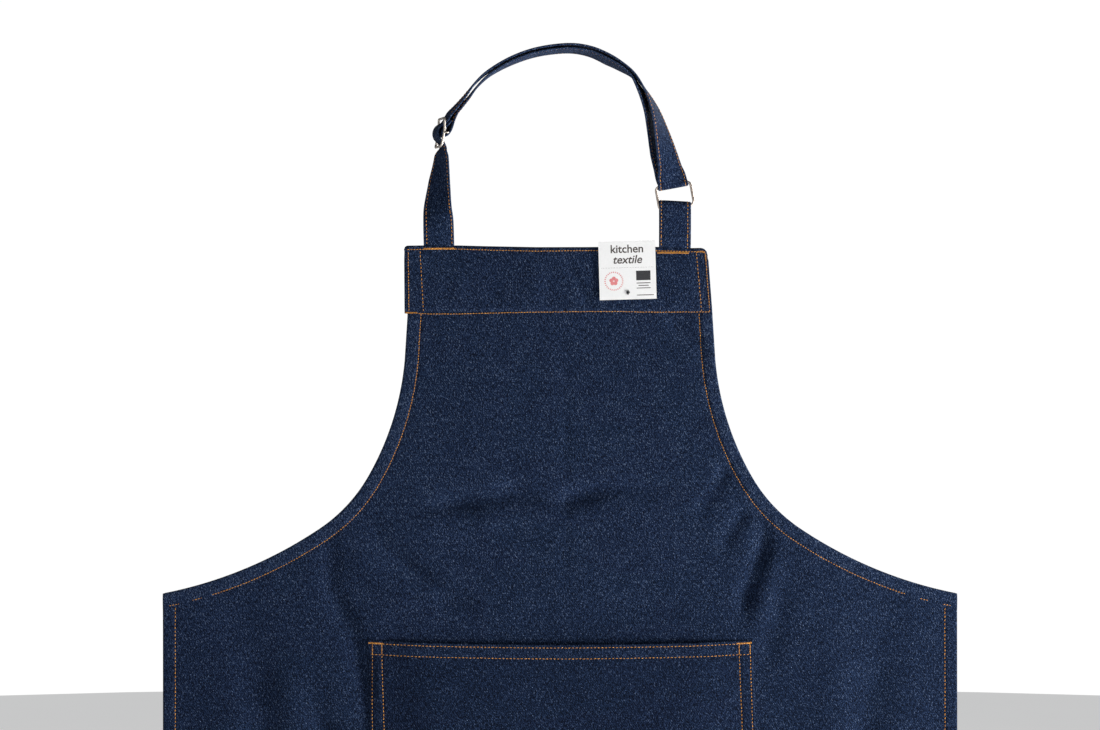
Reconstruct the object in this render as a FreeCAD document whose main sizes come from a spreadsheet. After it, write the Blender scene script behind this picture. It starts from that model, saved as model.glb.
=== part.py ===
import FreeCAD, Part
import math
import os

import Sketcher
from FreeCAD import Placement, Rotation, Vector

# A denim bib apron with a doubled, adjustable neck strap.
# Frame: +Z up, +X to the viewer's right, the front faces -Y.
# The origin is the hang point, under the top of the neck loop, where a peg would hold the apron.
# Heights in the sheet are taken from the bib's top edge; depths below it are positive numbers.

DOC = FreeCAD.newDocument("Apron")
SHEET = DOC.addObject("Spreadsheet::Sheet", "Sizes")

SIZES = {
    # cloth and webbing
    "cloth": 1.0,               # denim, one layer
    "strap_width": 27.0,        # folded denim strap
    "strap_thick": 2.0,
    "thread": 0.3,              # how far stitching stands proud
    "thread_width": 0.8,
    # bib
    "hang_height": 170.0,       # bib top edge below the hang point
    "bib_left": 136.8,
    "bib_right": 129.4,
    "facing_deep": 58.5,
    "facing_lean": 0.4,         # the band's left edge leans in by this over its depth
    "body_half": 133.8,         # half width just below the facing
    # armhole edge: three tangent arcs, angles taken from the vertical
    "arm_x": 136.4,
    "arm_deep": 99.4,
    "angle_a": 5.0,
    "angle_b": 30.0,
    "angle_c": 56.0,
    "angle_d": 79.0,
    "radius_ab": 250.0,
    "radius_bc": 137.0,
    "radius_cd": 375.0,
    "skirt_deep": 800.0,
    # hems
    "arm_hem": 11.5,
    "side_hem": 12.0,
    "bottom_hem": 25.0,
    "hem_start": 0.3,           # gap between the facing and an armhole hem
    "hem_corner": 1.0,          # gap between an armhole hem and a side hem
    # seams: how far in from an edge the thread runs
    "top_seam": 3.4,
    "facing_seam": 1.0,
    "seam_end": 4.0,            # bare end of the bib's seams
    "mouth_seam": 1.8,
    "side_seam": 3.0,
    "second_seam": 13.0,
    "mouth_end": 16.0,          # bare end of the pocket mouth's seams
    # patch pocket, slightly full so that a hand goes in
    "pocket_half": 169.5,
    "pocket_top": 348.0,
    "pocket_deep": 195.0,
    "pocket_room": 7.0,
    "pocket_hem": 11.0,
    "hem_thick": 0.8,
    "pocket_tack": 13.0,
    "pocket_tack_in": 1.5,
    # sewn ends of the neck strap
    "left_strap_x": -106.5,
    "strap_foot": 2.0,          # straps start this far above the bib's edge
    "leg_gap": 0.1,             # half the gap between the ring strap's two legs
    "neck_tack": 26.0,
    "neck_tack_high": 0.6,
    "neck_tack_low": 2.4,
    "tack_high": 0.6,
    "tack_low": 2.6,
    # ring on the right-hand strap
    "ring_x": 101.1,
    "ring_high": 45.0,
    "ring_width": 34.5,
    "ring_height": 22.8,
    "ring_wire": 2.5,
    "ring_tilt": 11.5,
    "ring_strap_x": 102.7,
    "ring_corner": 3.0,
    "ring_soft": 0.7,
    "turn_room": 0.35,          # play between the ring's wire and the long strap's fold
    "fold_radius": 4.6,         # inside of the ring strap's fold
    "fold_high": 35.0,          # middle of that fold above the bib
    # slider on the left-hand strap
    "slider_x": -103.8,
    "slider_high": 100.3,
    "slider_width": 33.0,
    "slider_length": 27.0,
    "slider_bar_width": 2.2,
    "slider_thick": 1.6,
    "slider_lean": 7.0,
    "slider_turn": 12.0,
    "slider_corner": 2.0,
    "slider_soft": 0.4,
    "end_thick": 1.4,           # the strap's sewn end where it is pulled round the centre bar
    "end_room": 0.95,           # its middle line outside the bar
    # hang tag and its fastener
    "tag_width": 50.0,
    "tag_height": 51.5,
    "tag_thick": 0.5,
    "tag_pin_x": 59.8,
    "tag_pin_deep": 40.0,
    "tag_pin_up": 6.2,          # pin above the tag's lower edge
    "tag_tilt": 1.6,
    "tag_gap": 2.7,             # tag's back face in front of the cloth
    "tag_hole": 1.6,
    "pin_radius": 0.5,
    "pin_play": 0.05,
    "head_radius": 2.4,
    "head_start": 0.4,          # head in front of the card
    "head_thick": 0.5,
    "bar_start": 0.1,           # bar behind the facing
    "bar_thick": 0.7,
    # waist ties
    "tie_length": 760.0,
    "tie_x": 334.0,
    "tie_top_deep": 312.0,
    "tie_gap": 0.6,
    "tie_tack": 20.0,
    "tie_tack_high": 3.0,
    "tie_tack_low": 22.0,
}

for row, (alias, value) in enumerate(SIZES.items(), start=1):
    SHEET.set("A%d" % row, alias)
    SHEET.set("B%d" % row, str(value))
    SHEET.setAlias("B%d" % row, alias)
DOC.recompute()


def size(alias):
    return float(SHEET.get(alias))


def cell(alias):
    return "Sizes." + alias


def drop(deep):
    """Expression for a height in the row's frame, deep below the bib's top edge."""
    return "-%s - (%s)" % (cell("hang_height"), deep)


PARTS = []


def keep(part, label, x="0", y="0", z="0", rotation=None):
    """Name a sub-part, turn it and bind its place."""
    part.Label = label
    if rotation is not None:
        part.Placement = Placement(Vector(0, 0, 0), rotation)
    for axis, text in (("x", x), ("y", y), ("z", z)):
        part.setExpression("Placement.Base." + axis, "(%s) * 1mm" % text)
    PARTS.append(part)
    return part


def plane_of(body, role):
    for feature in body.Origin.OriginFeatures:
        if feature.Role == role:
            return feature
    raise RuntimeError("no plane " + role)


def outline(body, name, role, points, arcs=(), circles=()):
    """Closed outline: points are pairs of expressions, arcs gives (edge, radius, side) of round edges."""
    sketch = body.newObject("Sketcher::SketchObject", name)
    sketch.AttachmentSupport = [(plane_of(body, role), "")]
    sketch.MapMode = "FlatFace"
    add_loop(sketch, points, arcs)
    for centre_x, centre_y, radius in circles:
        add_circle(sketch, centre_x, centre_y, radius)
    return sketch


def value_of(text):
    result = SHEET.evalExpression(text)
    return float(getattr(result, "Value", result))


def add_circle(sketch, x_text, y_text, radius_text):
    centre = Vector(value_of(x_text), value_of(y_text), 0)
    geo = sketch.addGeometry(Part.Circle(centre, Vector(0, 0, 1), value_of(radius_text)), False)
    pin(sketch, geo, 3, x_text, y_text)
    bind(sketch, Sketcher.Constraint("Radius", geo, value_of(radius_text)), radius_text)


def bind(sketch, constraint, text):
    index = sketch.addConstraint(constraint)
    sketch.setExpression("Constraints[%d]" % index, text)


def pin(sketch, geo, point, x_text, y_text):
    bind(sketch, Sketcher.Constraint("DistanceX", -1, 1, geo, point, value_of(x_text)), x_text)
    bind(sketch, Sketcher.Constraint("DistanceY", -1, 1, geo, point, value_of(y_text)), y_text)


def add_loop(sketch, points, arcs):
    corners = [Vector(value_of(x), value_of(y), 0) for x, y in points]
    rounds = {edge: (radius, side) for edge, radius, side in arcs}
    edges = []
    for index, start in enumerate(corners):
        end = corners[(index + 1) % len(corners)]
        if index in rounds:
            radius_text, side = rounds[index]
            geometry = Part.Arc(start, arc_middle(start, end, value_of(radius_text), side), end)
        else:
            geometry = Part.LineSegment(start, end)
        edges.append(sketch.addGeometry(geometry, False))
    ends = []
    for index, geo in enumerate(edges):
        first = 1 if sketch.getPoint(geo, 1).isEqual(corners[index], 1e-4) else 2
        ends.append((first, 3 - first))
    for index, geo in enumerate(edges):
        following = (index + 1) % len(edges)
        sketch.addConstraint(
            Sketcher.Constraint("Coincident", geo, ends[index][1], edges[following], ends[following][0]))
    for index, (x_text, y_text) in enumerate(points):
        pin(sketch, edges[index], ends[index][0], x_text, y_text)
    for index, (radius_text, _side) in rounds.items():
        radius = value_of(radius_text)
        chord = (corners[(index + 1) % len(corners)] - corners[index]).Length
        if abs(chord - 2 * radius) < 1e-6:
            # a half circle is fixed by its centre's height, because its ends already fix the radius
            height = points[index][1]
            bind(sketch, Sketcher.Constraint("DistanceY", -1, 1, edges[index], 3, value_of(height)), height)
        else:
            bind(sketch, Sketcher.Constraint("Radius", edges[index], radius), radius_text)


def arc_middle(start, end, radius, side):
    """Middle of the arc that bulges to the left (side 1) or right (side -1) of start to end."""
    chord = end - start
    middle = (start + end) * 0.5
    left = Vector(-chord.y, chord.x, 0)
    left.normalize()
    rise = radius - math.sqrt(max(radius ** 2 - (chord.Length / 2) ** 2, 0))
    return middle + left * (rise * side)


def pad(body, sketch, length_text, name="Pad"):
    feature = body.newObject("PartDesign::Pad", name)
    feature.Profile = sketch
    feature.setExpression("Length", length_text)
    sketch.Visibility = False
    return feature


def new_body(name):
    return DOC.addObject("PartDesign::Body", name)


def flat_piece(label, points, thick, back_y, arcs=(), circles=(), x="0"):
    """Cloth cut to an outline seen from the front; its back face stands at back_y."""
    body = new_body(label.title().replace("_", ""))
    sketch = outline(body, label + "_outline", "XZ_Plane", points, arcs, circles)
    pad(body, sketch, thick)
    return keep(body, label, x=x, y=back_y, z=drop("0"))


def block(label, low, high):
    """Plain strip from one corner to the other, all six places bound."""
    box = DOC.addObject("Part::Box", label.title().replace("_", ""))
    for prop, axis in (("Length", 0), ("Width", 1), ("Height", 2)):
        box.setExpression(prop, "((%s) - (%s)) * 1mm" % (high[axis], low[axis]))
    return keep(box, label, low[0], low[1], low[2])


# ---------------------------------------------------------------- armhole edge

def turn(alias, name):
    return "%s(%s * 1deg)" % (name, cell(alias))


def armhole(side, inset):
    """The four joints of the armhole's arcs, as (x, z) expressions, inset into the cloth."""
    x_text = cell("arm_x")
    z_text = "-" + cell("arm_deep")
    steps = (("angle_a", None), ("angle_b", "radius_ab"), ("angle_c", "radius_bc"), ("angle_d", "radius_cd"))
    joints = []
    before = None
    for angle, radius in steps:
        if radius is not None:
            x_text += " + %s * (%s - %s)" % (cell(radius), turn(before, "cos"), turn(angle, "cos"))
            z_text += " - %s * (%s - %s)" % (cell(radius), turn(angle, "sin"), turn(before, "sin"))
        inset_x = "%s - (%s) * %s" % (x_text, inset, turn(angle, "cos"))
        inset_z = "%s - (%s) * %s" % (z_text, inset, turn(angle, "sin"))
        joints.append(("%d * (%s)" % (side, inset_x), inset_z))
        before = angle
    return joints


ARM_RADII = ("radius_ab", "radius_bc", "radius_cd")


def armhole_arcs(first_edge, side, inset, reverse=False):
    """Arc entries for three edges that follow the armhole's joints."""
    radii = ARM_RADII[::-1] if reverse else ARM_RADII
    bulge = -side if not reverse else side
    return [(first_edge + step, "%s + (%s)" % (cell(radius), inset), bulge)
            for step, radius in enumerate(radii)]


BAND = cell("facing_deep")
BAND_LOW = "-" + BAND
BAND_CORNER = "-%s + %s" % (cell("bib_left"), cell("facing_lean"))
BODY = cell("body_half")
HEM_Y = cell("cloth") + " / 2"
SKIRT_X = armhole(1, "0")[3][0]
WAIST_Z = armhole(1, "0")[3][1]
PIN_HOLE = (cell("tag_pin_x"), "-" + cell("tag_pin_deep"), cell("pin_radius"))


def make_panel():
    right = armhole(1, "0")
    left = armhole(-1, "0")[::-1]
    points = [("-" + cell("bib_left"), "0"), (cell("bib_right"), "0"), (BODY, BAND_LOW)]
    points += right
    points += [(SKIRT_X, "-" + cell("skirt_deep")), ("-(%s)" % SKIRT_X, "-" + cell("skirt_deep"))]
    points += left
    points += [("-" + BODY, BAND_LOW), (BAND_CORNER, BAND_LOW)]
    arcs = armhole_arcs(3, 1, "0") + armhole_arcs(9, -1, "0", reverse=True)
    flat_piece("panel", points, cell("cloth"), HEM_Y, arcs, [PIN_HOLE])


def make_facing():
    points = [
        ("-" + cell("bib_left"), "0"),
        (cell("bib_right"), "0"),
        (BODY, BAND_LOW),
        (BAND_CORNER, BAND_LOW),
    ]
    flat_piece("bib_facing", points, cell("cloth"), HEM_Y + " + " + cell("cloth"), (), [PIN_HOLE])


def arm_strip(label, side, outer, inner, thick, back_y):
    """Strip between two insets of one armhole, from under the facing to the waist corner."""
    shift = "%d * (%s - (%s))"
    top = "%s - %s" % (BAND_LOW, cell("hem_start"))
    outside = armhole(side, outer)
    inside = armhole(side, inner)[::-1]
    points = [(shift % (side, BODY, outer), top)] + outside + inside + [(shift % (side, BODY, inner), top)]
    arcs = armhole_arcs(1, side, outer) + armhole_arcs(5, side, inner, reverse=True)
    arcs = [(edge, radius, -side if edge < 5 else side) for edge, radius, _bulge in arcs]
    flat_piece(label, points, thick, back_y, arcs)


def make_hems():
    layer = HEM_Y + " + " + cell("cloth")
    for side, name in ((-1, "left"), (1, "right")):
        arm_strip("armhole_hem_" + name, side, "0", cell("arm_hem"), cell("cloth"), layer)
        edge = "%d * (%s)" % (side, SKIRT_X)
        inner = "%d * (%s - %s)" % (side, SKIRT_X, cell("side_hem"))
        low_x, high_x = (edge, inner) if side < 0 else (inner, edge)
        top = "-%s + %s - %s - %s" % (cell("hang_height"), WAIST_Z, cell("arm_hem"), cell("hem_corner"))
        block("side_hem_" + name,
              (low_x, HEM_Y, drop("%s - %s" % (cell("skirt_deep"), cell("bottom_hem")))),
              (high_x, layer, top))
    block("bottom_hem",
          ("-(%s)" % SKIRT_X, HEM_Y, drop(cell("skirt_deep"))),
          (SKIRT_X, layer, drop("%s - %s" % (cell("skirt_deep"), cell("bottom_hem")))))


# ---------------------------------------------------------------- pocket

POCKET_FRONT = "-%s / 2 - %s - %s" % (cell("cloth"), cell("pocket_room"), cell("cloth"))
POCKET_LOW = "%s + %s" % (cell("pocket_top"), cell("pocket_deep"))
OPEN_TOP = "5"        # the cut runs out through the mouth


def make_pocket():
    """Shallow pouch: a tray whose open top is the mouth and whose open back is closed by the panel."""
    half = cell("pocket_half")
    body = new_body("Pocket")
    corners = [("-" + half, "-" + cell("pocket_deep")), (half, "-" + cell("pocket_deep")),
               (half, "0"), ("-" + half, "0")]
    front = outline(body, "pocket_outline", "XZ_Plane", corners)
    pad(body, front, "%s + %s" % (cell("pocket_room"), cell("cloth")))
    inner = [("-%s + %s" % (half, cell("cloth")), "-%s + %s" % (cell("pocket_deep"), cell("cloth"))),
             ("%s - %s" % (half, cell("cloth")), "-%s + %s" % (cell("pocket_deep"), cell("cloth"))),
             ("%s - %s" % (half, cell("cloth")), OPEN_TOP),
             ("-%s + %s" % (half, cell("cloth")), OPEN_TOP)]
    room = outline(body, "pocket_room_outline", "XZ_Plane", inner)
    cut = body.newObject("PartDesign::Pocket", "Room")
    cut.Profile = room
    cut.setExpression("Length", cell("pocket_room"))
    cut.Reversed = True
    room.Visibility = False
    keep(body, "pocket", y="-" + HEM_Y, z=drop(cell("pocket_top")))
    block("pocket_hem",
          ("-%s + %s" % (half, cell("cloth")), POCKET_FRONT + " + " + cell("cloth"),
           drop("%s + %s" % (cell("pocket_top"), cell("pocket_hem")))),
          ("%s - %s" % (half, cell("cloth")), "%s + %s + %s" % (POCKET_FRONT, cell("cloth"), cell("hem_thick")),
           drop(cell("pocket_top"))))


# ---------------------------------------------------------------- neck strap

NORMAL_Y = Vector(0, -1, 0)


def ribbon(label, stations, rise):
    """Strap through stations (x, y, z, turn): turn 0 stands on edge, turn 90 lies flat to the viewer."""
    width = size("strap_width")
    thick = size("strap_thick")
    places = [Vector(x, y, z) for x, y, z, _turn in stations]
    wires = []
    for index, place in enumerate(places):
        before = places[max(index - 1, 0)]
        after = places[min(index + 1, len(places) - 1)]
        along = (after - before).normalize()
        inward = along.cross(NORMAL_Y).normalize()
        angle = math.radians(stations[index][3])
        across = NORMAL_Y * math.cos(angle) + inward * math.sin(angle)
        across = (across - along * across.dot(along)).normalize()
        through = along.cross(across).normalize()
        corners = [place + across * (width / 2 * a) + through * (thick / 2 * b)
                   for a, b in ((1, 1), (-1, 1), (-1, -1), (1, -1))]
        wires.append(Part.makePolygon(corners + corners[:1]))
    part = DOC.addObject("Part::Feature", label.title().replace("_", ""))
    part.Shape = Part.makeLoft(wires, True, True)
    part.Placement = Placement(Vector(0, 0, rise), Rotation())
    part.Label = label
    PARTS.append(part)
    return part


# The arch as it stands: (x, height above the bib, turn) of the outer layer's middle line.
ARCH = [
    (-89.0, 128.0, 4), (-75.5, 141.5, 0), (-63.0, 154.0, 0), (-43.0, 166.5, 0), (-18.0, 175.6, 0),
    (7.0, 178.6, 0), (29.0, 175.0, 0), (47.5, 166.6, 0), (62.0, 154.5, 6), (71.0, 142.0, 16),
    (79.0, 127.0, 30), (86.0, 110.0, 45), (92.0, 93.0, 60), (96.5, 77.0, 78), (98.6, 64.0, 90),
]
LAYER_GAP = 4.6       # between the middles of the two layers
TURN_LEG = 7.0        # the fold's straight legs above the ring's bar
LEFT_RISE = [         # the strap between the bib and the slider: (x, height above the bib, turn)
    (-106.8, 24.0, 90), (-106.2, 40.0, 62), (-105.4, 55.0, 40), (-104.9, 66.0, 24), (-104.6, 75.5, 12),
]
# the strap's wave past the slider: (along the slider, inward of it)
WAVE = [
    (-13.4, 3.0), (-10.6, 2.7), (-7.6, 0.0), (-4.0, -4.3), (0, -4.8),
    (4.0, -4.3), (7.6, 0.0), (10.6, 2.7), (13.4, 3.0),
]
END_LEG = 3.0         # the sewn end's legs past the centre bar


def make_neck_strap():
    rise = -size("hang_height")
    left = [(size("left_strap_x"), 0, size("strap_foot"), 90)]
    left += [(x, 0, high, turn_angle) for x, high, turn_angle in LEFT_RISE]
    ribbon("neck_strap_left", left, rise)
    outer = []
    inner = []
    last = len(ARCH) - 1
    for index, (x, high, turn_angle) in enumerate(ARCH):
        before = ARCH[max(index - 1, 0)]
        after = ARCH[min(index + 1, last)]
        along = Vector(after[0] - before[0], 0, after[1] - before[1]).normalize()
        inward = along.cross(NORMAL_Y).normalize()
        flat = math.radians(turn_angle)
        step = inward * math.cos(flat) - NORMAL_Y * math.sin(flat)
        shift = step * (LAYER_GAP / 2 * math.sin(flat))
        middle = Vector(x, 0, high) - shift
        outer.append((middle.x, middle.y, middle.z, turn_angle))
        layer = middle + step * LAYER_GAP
        inner.append((layer.x, layer.y, layer.z, turn_angle))
    ribbon("neck_strap_outer", outer, rise)
    ribbon("neck_strap_inner", inner, rise)


def fold_body(label, points, arcs, x, y, z, rotation=None):
    """Strap folded round a bar: its side view, drawn in the YZ plane and padded across the strap."""
    body = new_body(label.title().replace("_", ""))
    sketch = outline(body, label + "_side", "YZ_Plane", points, arcs)
    pad(body, sketch, cell("strap_width"))
    return keep(body, label, x, y, z, rotation)


RING_BARS = "(%s - %s)" % (cell("ring_height"), cell("ring_wire"))
RING_SIN = "sin(%s * 1deg)" % cell("ring_tilt")
RING_COS = "cos(%s * 1deg)" % cell("ring_tilt")


def make_ring_folds():
    thick = cell("strap_thick")
    inside = "(%s / 2 + %s)" % (cell("ring_wire"), cell("turn_room"))
    outside = "(%s + %s)" % (inside, thick)
    leg = str(TURN_LEG)
    points = [("-" + outside, leg), ("-" + outside, "0"), (outside, "0"), (outside, leg),
              (inside, leg), (inside, "0"), ("-" + inside, "0"), ("-" + inside, leg)]
    tilt = Rotation(Vector(0, 1, 0), -size("ring_tilt"))
    half = cell("strap_width") + " / 2"
    top_x = "%s - %s / 2 * %s" % (cell("ring_x"), RING_BARS, RING_SIN)
    top_z = "%s / 2 * %s + %s" % (RING_BARS, RING_COS, cell("ring_high"))
    fold_body("neck_strap_turn", points, [(1, outside, -1), (5, inside, 1)],
              "%s - %s * %s" % (top_x, half, RING_COS), "0",
              "-%s + %s - %s * %s" % (cell("hang_height"), top_z, half, RING_SIN), tilt)
    roomy = cell("fold_radius")
    around = "(%s + %s)" % (roomy, thick)
    high = cell("fold_high")
    base = cell("strap_foot")
    gap = cell("leg_gap")
    foot = "(%s + %s)" % (thick, gap)
    points = [("-" + foot, base), ("-" + around, high), (around, high), (foot, base),
              (gap, base), (roomy, high), ("-" + roomy, high), ("-" + gap, base)]
    fold_body("ring_strap", points, [(1, around, 1), (5, roomy, -1)],
              "%s - %s" % (cell("ring_strap_x"), half), "0", drop("0"))


# ---------------------------------------------------------------- metal

def frame_body(name, width, length, bar, thick, corner, rounding):
    """Rectangular metal loop: outer outline less the window, all edges rounded."""
    body = new_body(name)
    sketch = outline(body, name + "_outline", "XZ_Plane", rectangle(width, length))
    slab = pad(body, sketch, thick)
    DOC.recompute()
    corners = body.newObject("PartDesign::Fillet", "Corners")
    upright = [n for n, edge in named_edges(slab.Shape) if is_along_y(edge)]
    corners.Base = (slab, upright)
    corners.setExpression("Radius", corner)
    DOC.recompute()
    window = outline(body, name + "_window", "XZ_Plane",
                     rectangle("(%s - 2 * %s)" % (width, bar), "(%s - 2 * %s)" % (length, bar)))
    cut = body.newObject("PartDesign::Pocket", "Window")
    cut.Profile = window
    cut.Type = 1
    cut.Reversed = True
    DOC.recompute()
    edges = [n for n, edge in named_edges(cut.Shape) if not is_along_y(edge)]
    soft = body.newObject("PartDesign::Fillet", "Soft")
    soft.Base = (cut, edges)
    soft.setExpression("Radius", rounding)
    DOC.recompute()
    return body


def rectangle(width, length):
    half_w = "%s / 2" % width
    half_l = "%s / 2" % length
    return [("-" + half_w, "-" + half_l), (half_w, "-" + half_l), (half_w, half_l), ("-" + half_w, half_l)]


def named_edges(shape):
    return [("Edge%d" % (index + 1), edge) for index, edge in enumerate(shape.Edges)]


def is_along_y(edge):
    if not isinstance(edge.Curve, Part.Line):
        return False
    return abs(edge.Curve.Direction.y) > 0.9


def make_ring():
    body = frame_body("StrapRing", cell("ring_width"), cell("ring_height"), cell("ring_wire"),
                      cell("ring_wire"), cell("ring_corner"), cell("ring_soft"))
    tilt = Rotation(Vector(0, 1, 0), -size("ring_tilt"))
    keep(body, "strap_ring", cell("ring_x"), cell("ring_wire") + " / 2",
         "-%s + %s" % (cell("hang_height"), cell("ring_high")), tilt)


def slider_axes():
    lean = math.radians(size("slider_lean"))
    turned = math.radians(size("slider_turn"))
    along = Vector(math.sin(lean), 0, math.cos(lean))
    across = Vector(math.sin(turned), -math.cos(turned), 0)
    across = (across - along * across.dot(along)).normalize()
    through = along.cross(across)
    return across, through, along


def make_slider():
    across, through, along = slider_axes()
    rotation = Rotation(across, through, along, "ZXY")
    rise = "-%s + %s" % (cell("hang_height"), cell("slider_high"))
    thick = size("slider_thick")
    shift = through * (thick / 2)
    body = frame_body("SliderFrame", cell("slider_width"), cell("slider_length"),
                      cell("slider_bar_width"), cell("slider_thick"),
                      cell("slider_corner"), cell("slider_soft"))
    keep(body, "slider_frame", "%s + %f" % (cell("slider_x"), shift.x), "%f" % shift.y,
         "%s + %f" % (rise, shift.z), rotation)

    bar = DOC.addObject("Part::Cylinder", "SliderBar")
    bar.setExpression("Radius", "%s / 2 * 1mm" % cell("slider_bar_width"))
    reach = "(%s - 2 * %s)" % (cell("slider_width"), cell("slider_bar_width"))
    bar.setExpression("Height", "%s * 1mm" % reach)
    half = across * ((size("slider_width") - 2 * size("slider_bar_width")) / 2)
    keep(bar, "slider_bar", "%s - %f" % (cell("slider_x"), half.x), "%f" % -half.y,
         "%s - (%f)" % (rise, half.z), Rotation(Vector(0, 0, 1), across))

    centre = Vector(size("slider_x"), 0, size("slider_high") - size("hang_height"))

    def at(length, out):
        return centre + along * length - through * out

    # the strap passes outward of the centre bar and inward of both end bars
    woven("strap_wave", [at(length, -inward) for length, inward in WAVE], across, size("strap_thick"))
    loop_radius = size("slider_bar_width") / 2 + size("end_room")
    steps = [math.radians(90 + 30 * step) for step in range(7)]
    loop = [at(loop_radius * math.cos(step), loop_radius * math.sin(step)) for step in steps]
    loop = [at(END_LEG, loop_radius)] + loop + [at(END_LEG, -loop_radius)]
    woven("strap_end", loop, across, size("end_thick"))


def woven(label, places, across, thick):
    """Strap that keeps one width direction while it winds past the slider's bars."""
    width = size("strap_width") - 1
    wires = []
    for index, place in enumerate(places):
        before = places[max(index - 1, 0)]
        after = places[min(index + 1, len(places) - 1)]
        along = (after - before).normalize()
        through = along.cross(across).normalize()
        corners = [place + across * (width / 2 * a) + through * (thick / 2 * b)
                   for a, b in ((1, 1), (-1, 1), (-1, -1), (1, -1))]
        wires.append(Part.makePolygon(corners + corners[:1]))
    part = DOC.addObject("Part::Feature", label.title().replace("_", ""))
    part.Shape = Part.makeLoft(wires, True, True)
    part.Placement = Placement()
    part.Label = label
    PARTS.append(part)


# ---------------------------------------------------------------- hang tag

def make_tag():
    body = new_body("HangTag")
    half = cell("tag_width") + " / 2"
    low = "-" + cell("tag_pin_up")
    high = "%s - %s" % (cell("tag_height"), cell("tag_pin_up"))
    corners = [("-" + half, low), (half, low), (half, high), ("-" + half, high)]
    sketch = outline(body, "tag_outline", "XZ_Plane", corners, (), [("0", "0", cell("tag_hole"))])
    pad(body, sketch, cell("tag_thick"))
    tilt = Rotation(Vector(0, 1, 0), -size("tag_tilt"))
    back = "-%s / 2 - %s" % (cell("cloth"), cell("tag_gap"))
    keep(body, "hang_tag", cell("tag_pin_x"), back, drop(cell("tag_pin_deep")), tilt)

    front = "(%s / 2 + %s + %s)" % (cell("cloth"), cell("tag_gap"), cell("tag_thick"))
    behind = "(1.5 * %s)" % cell("cloth")
    body = new_body("TagFastener")
    # half profile, turned about the fastener's own line: bar behind, thread, head in front
    thin = "%s - %s" % (cell("pin_radius"), cell("pin_play"))
    wide = cell("head_radius")
    neck = "-(%s + %s)" % (front, cell("head_start"))
    tip = "%s - %s" % (neck, cell("head_thick"))
    near = "%s + %s" % (behind, cell("bar_start"))
    far = "%s + %s" % (near, cell("bar_thick"))
    points = [("0", tip), (wide, tip), (wide, neck), (thin, neck), (thin, near), (wide, near), (wide, far),
              ("0", far)]
    sketch = outline(body, "fastener_profile", "XY_Plane", points)
    spin = body.newObject("PartDesign::Revolution", "Turned")
    spin.Profile = sketch
    spin.ReferenceAxis = (sketch, ["V_Axis"])
    spin.Angle = 360
    sketch.Visibility = False
    keep(body, "tag_fastener", cell("tag_pin_x"), "0", drop(cell("tag_pin_deep")))


# ---------------------------------------------------------------- waist ties

def make_ties():
    near = "%s * 1.5 + %s" % (cell("cloth"), cell("tie_gap"))
    for side, name in ((-1, "left"), (1, "right")):
        middle = "%d * %s" % (side, cell("tie_x"))
        low_x = "%s - %s / 2" % (middle, cell("strap_width"))
        high_x = "%s + %s / 2" % (middle, cell("strap_width"))
        top = drop(cell("tie_top_deep"))
        bottom = drop("%s + %s" % (cell("tie_top_deep"), cell("tie_length")))
        block("waist_tie_" + name, (low_x, near, bottom),
              (high_x, "%s + %s" % (near, cell("strap_thick")), top))
        tack_low = drop("%s + %s" % (cell("tie_top_deep"), cell("tie_tack_low")))
        tack_high = drop("%s + %s" % (cell("tie_top_deep"), cell("tie_tack_high")))
        back = "%s + %s" % (near, cell("strap_thick"))
        block("tie_tack_" + name, ("%s - %s / 2" % (middle, cell("tie_tack")), back, tack_low),
              ("%s + %s / 2" % (middle, cell("tie_tack")), "%s + %s" % (back, cell("thread")), tack_high))


# ---------------------------------------------------------------- stitching

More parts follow.
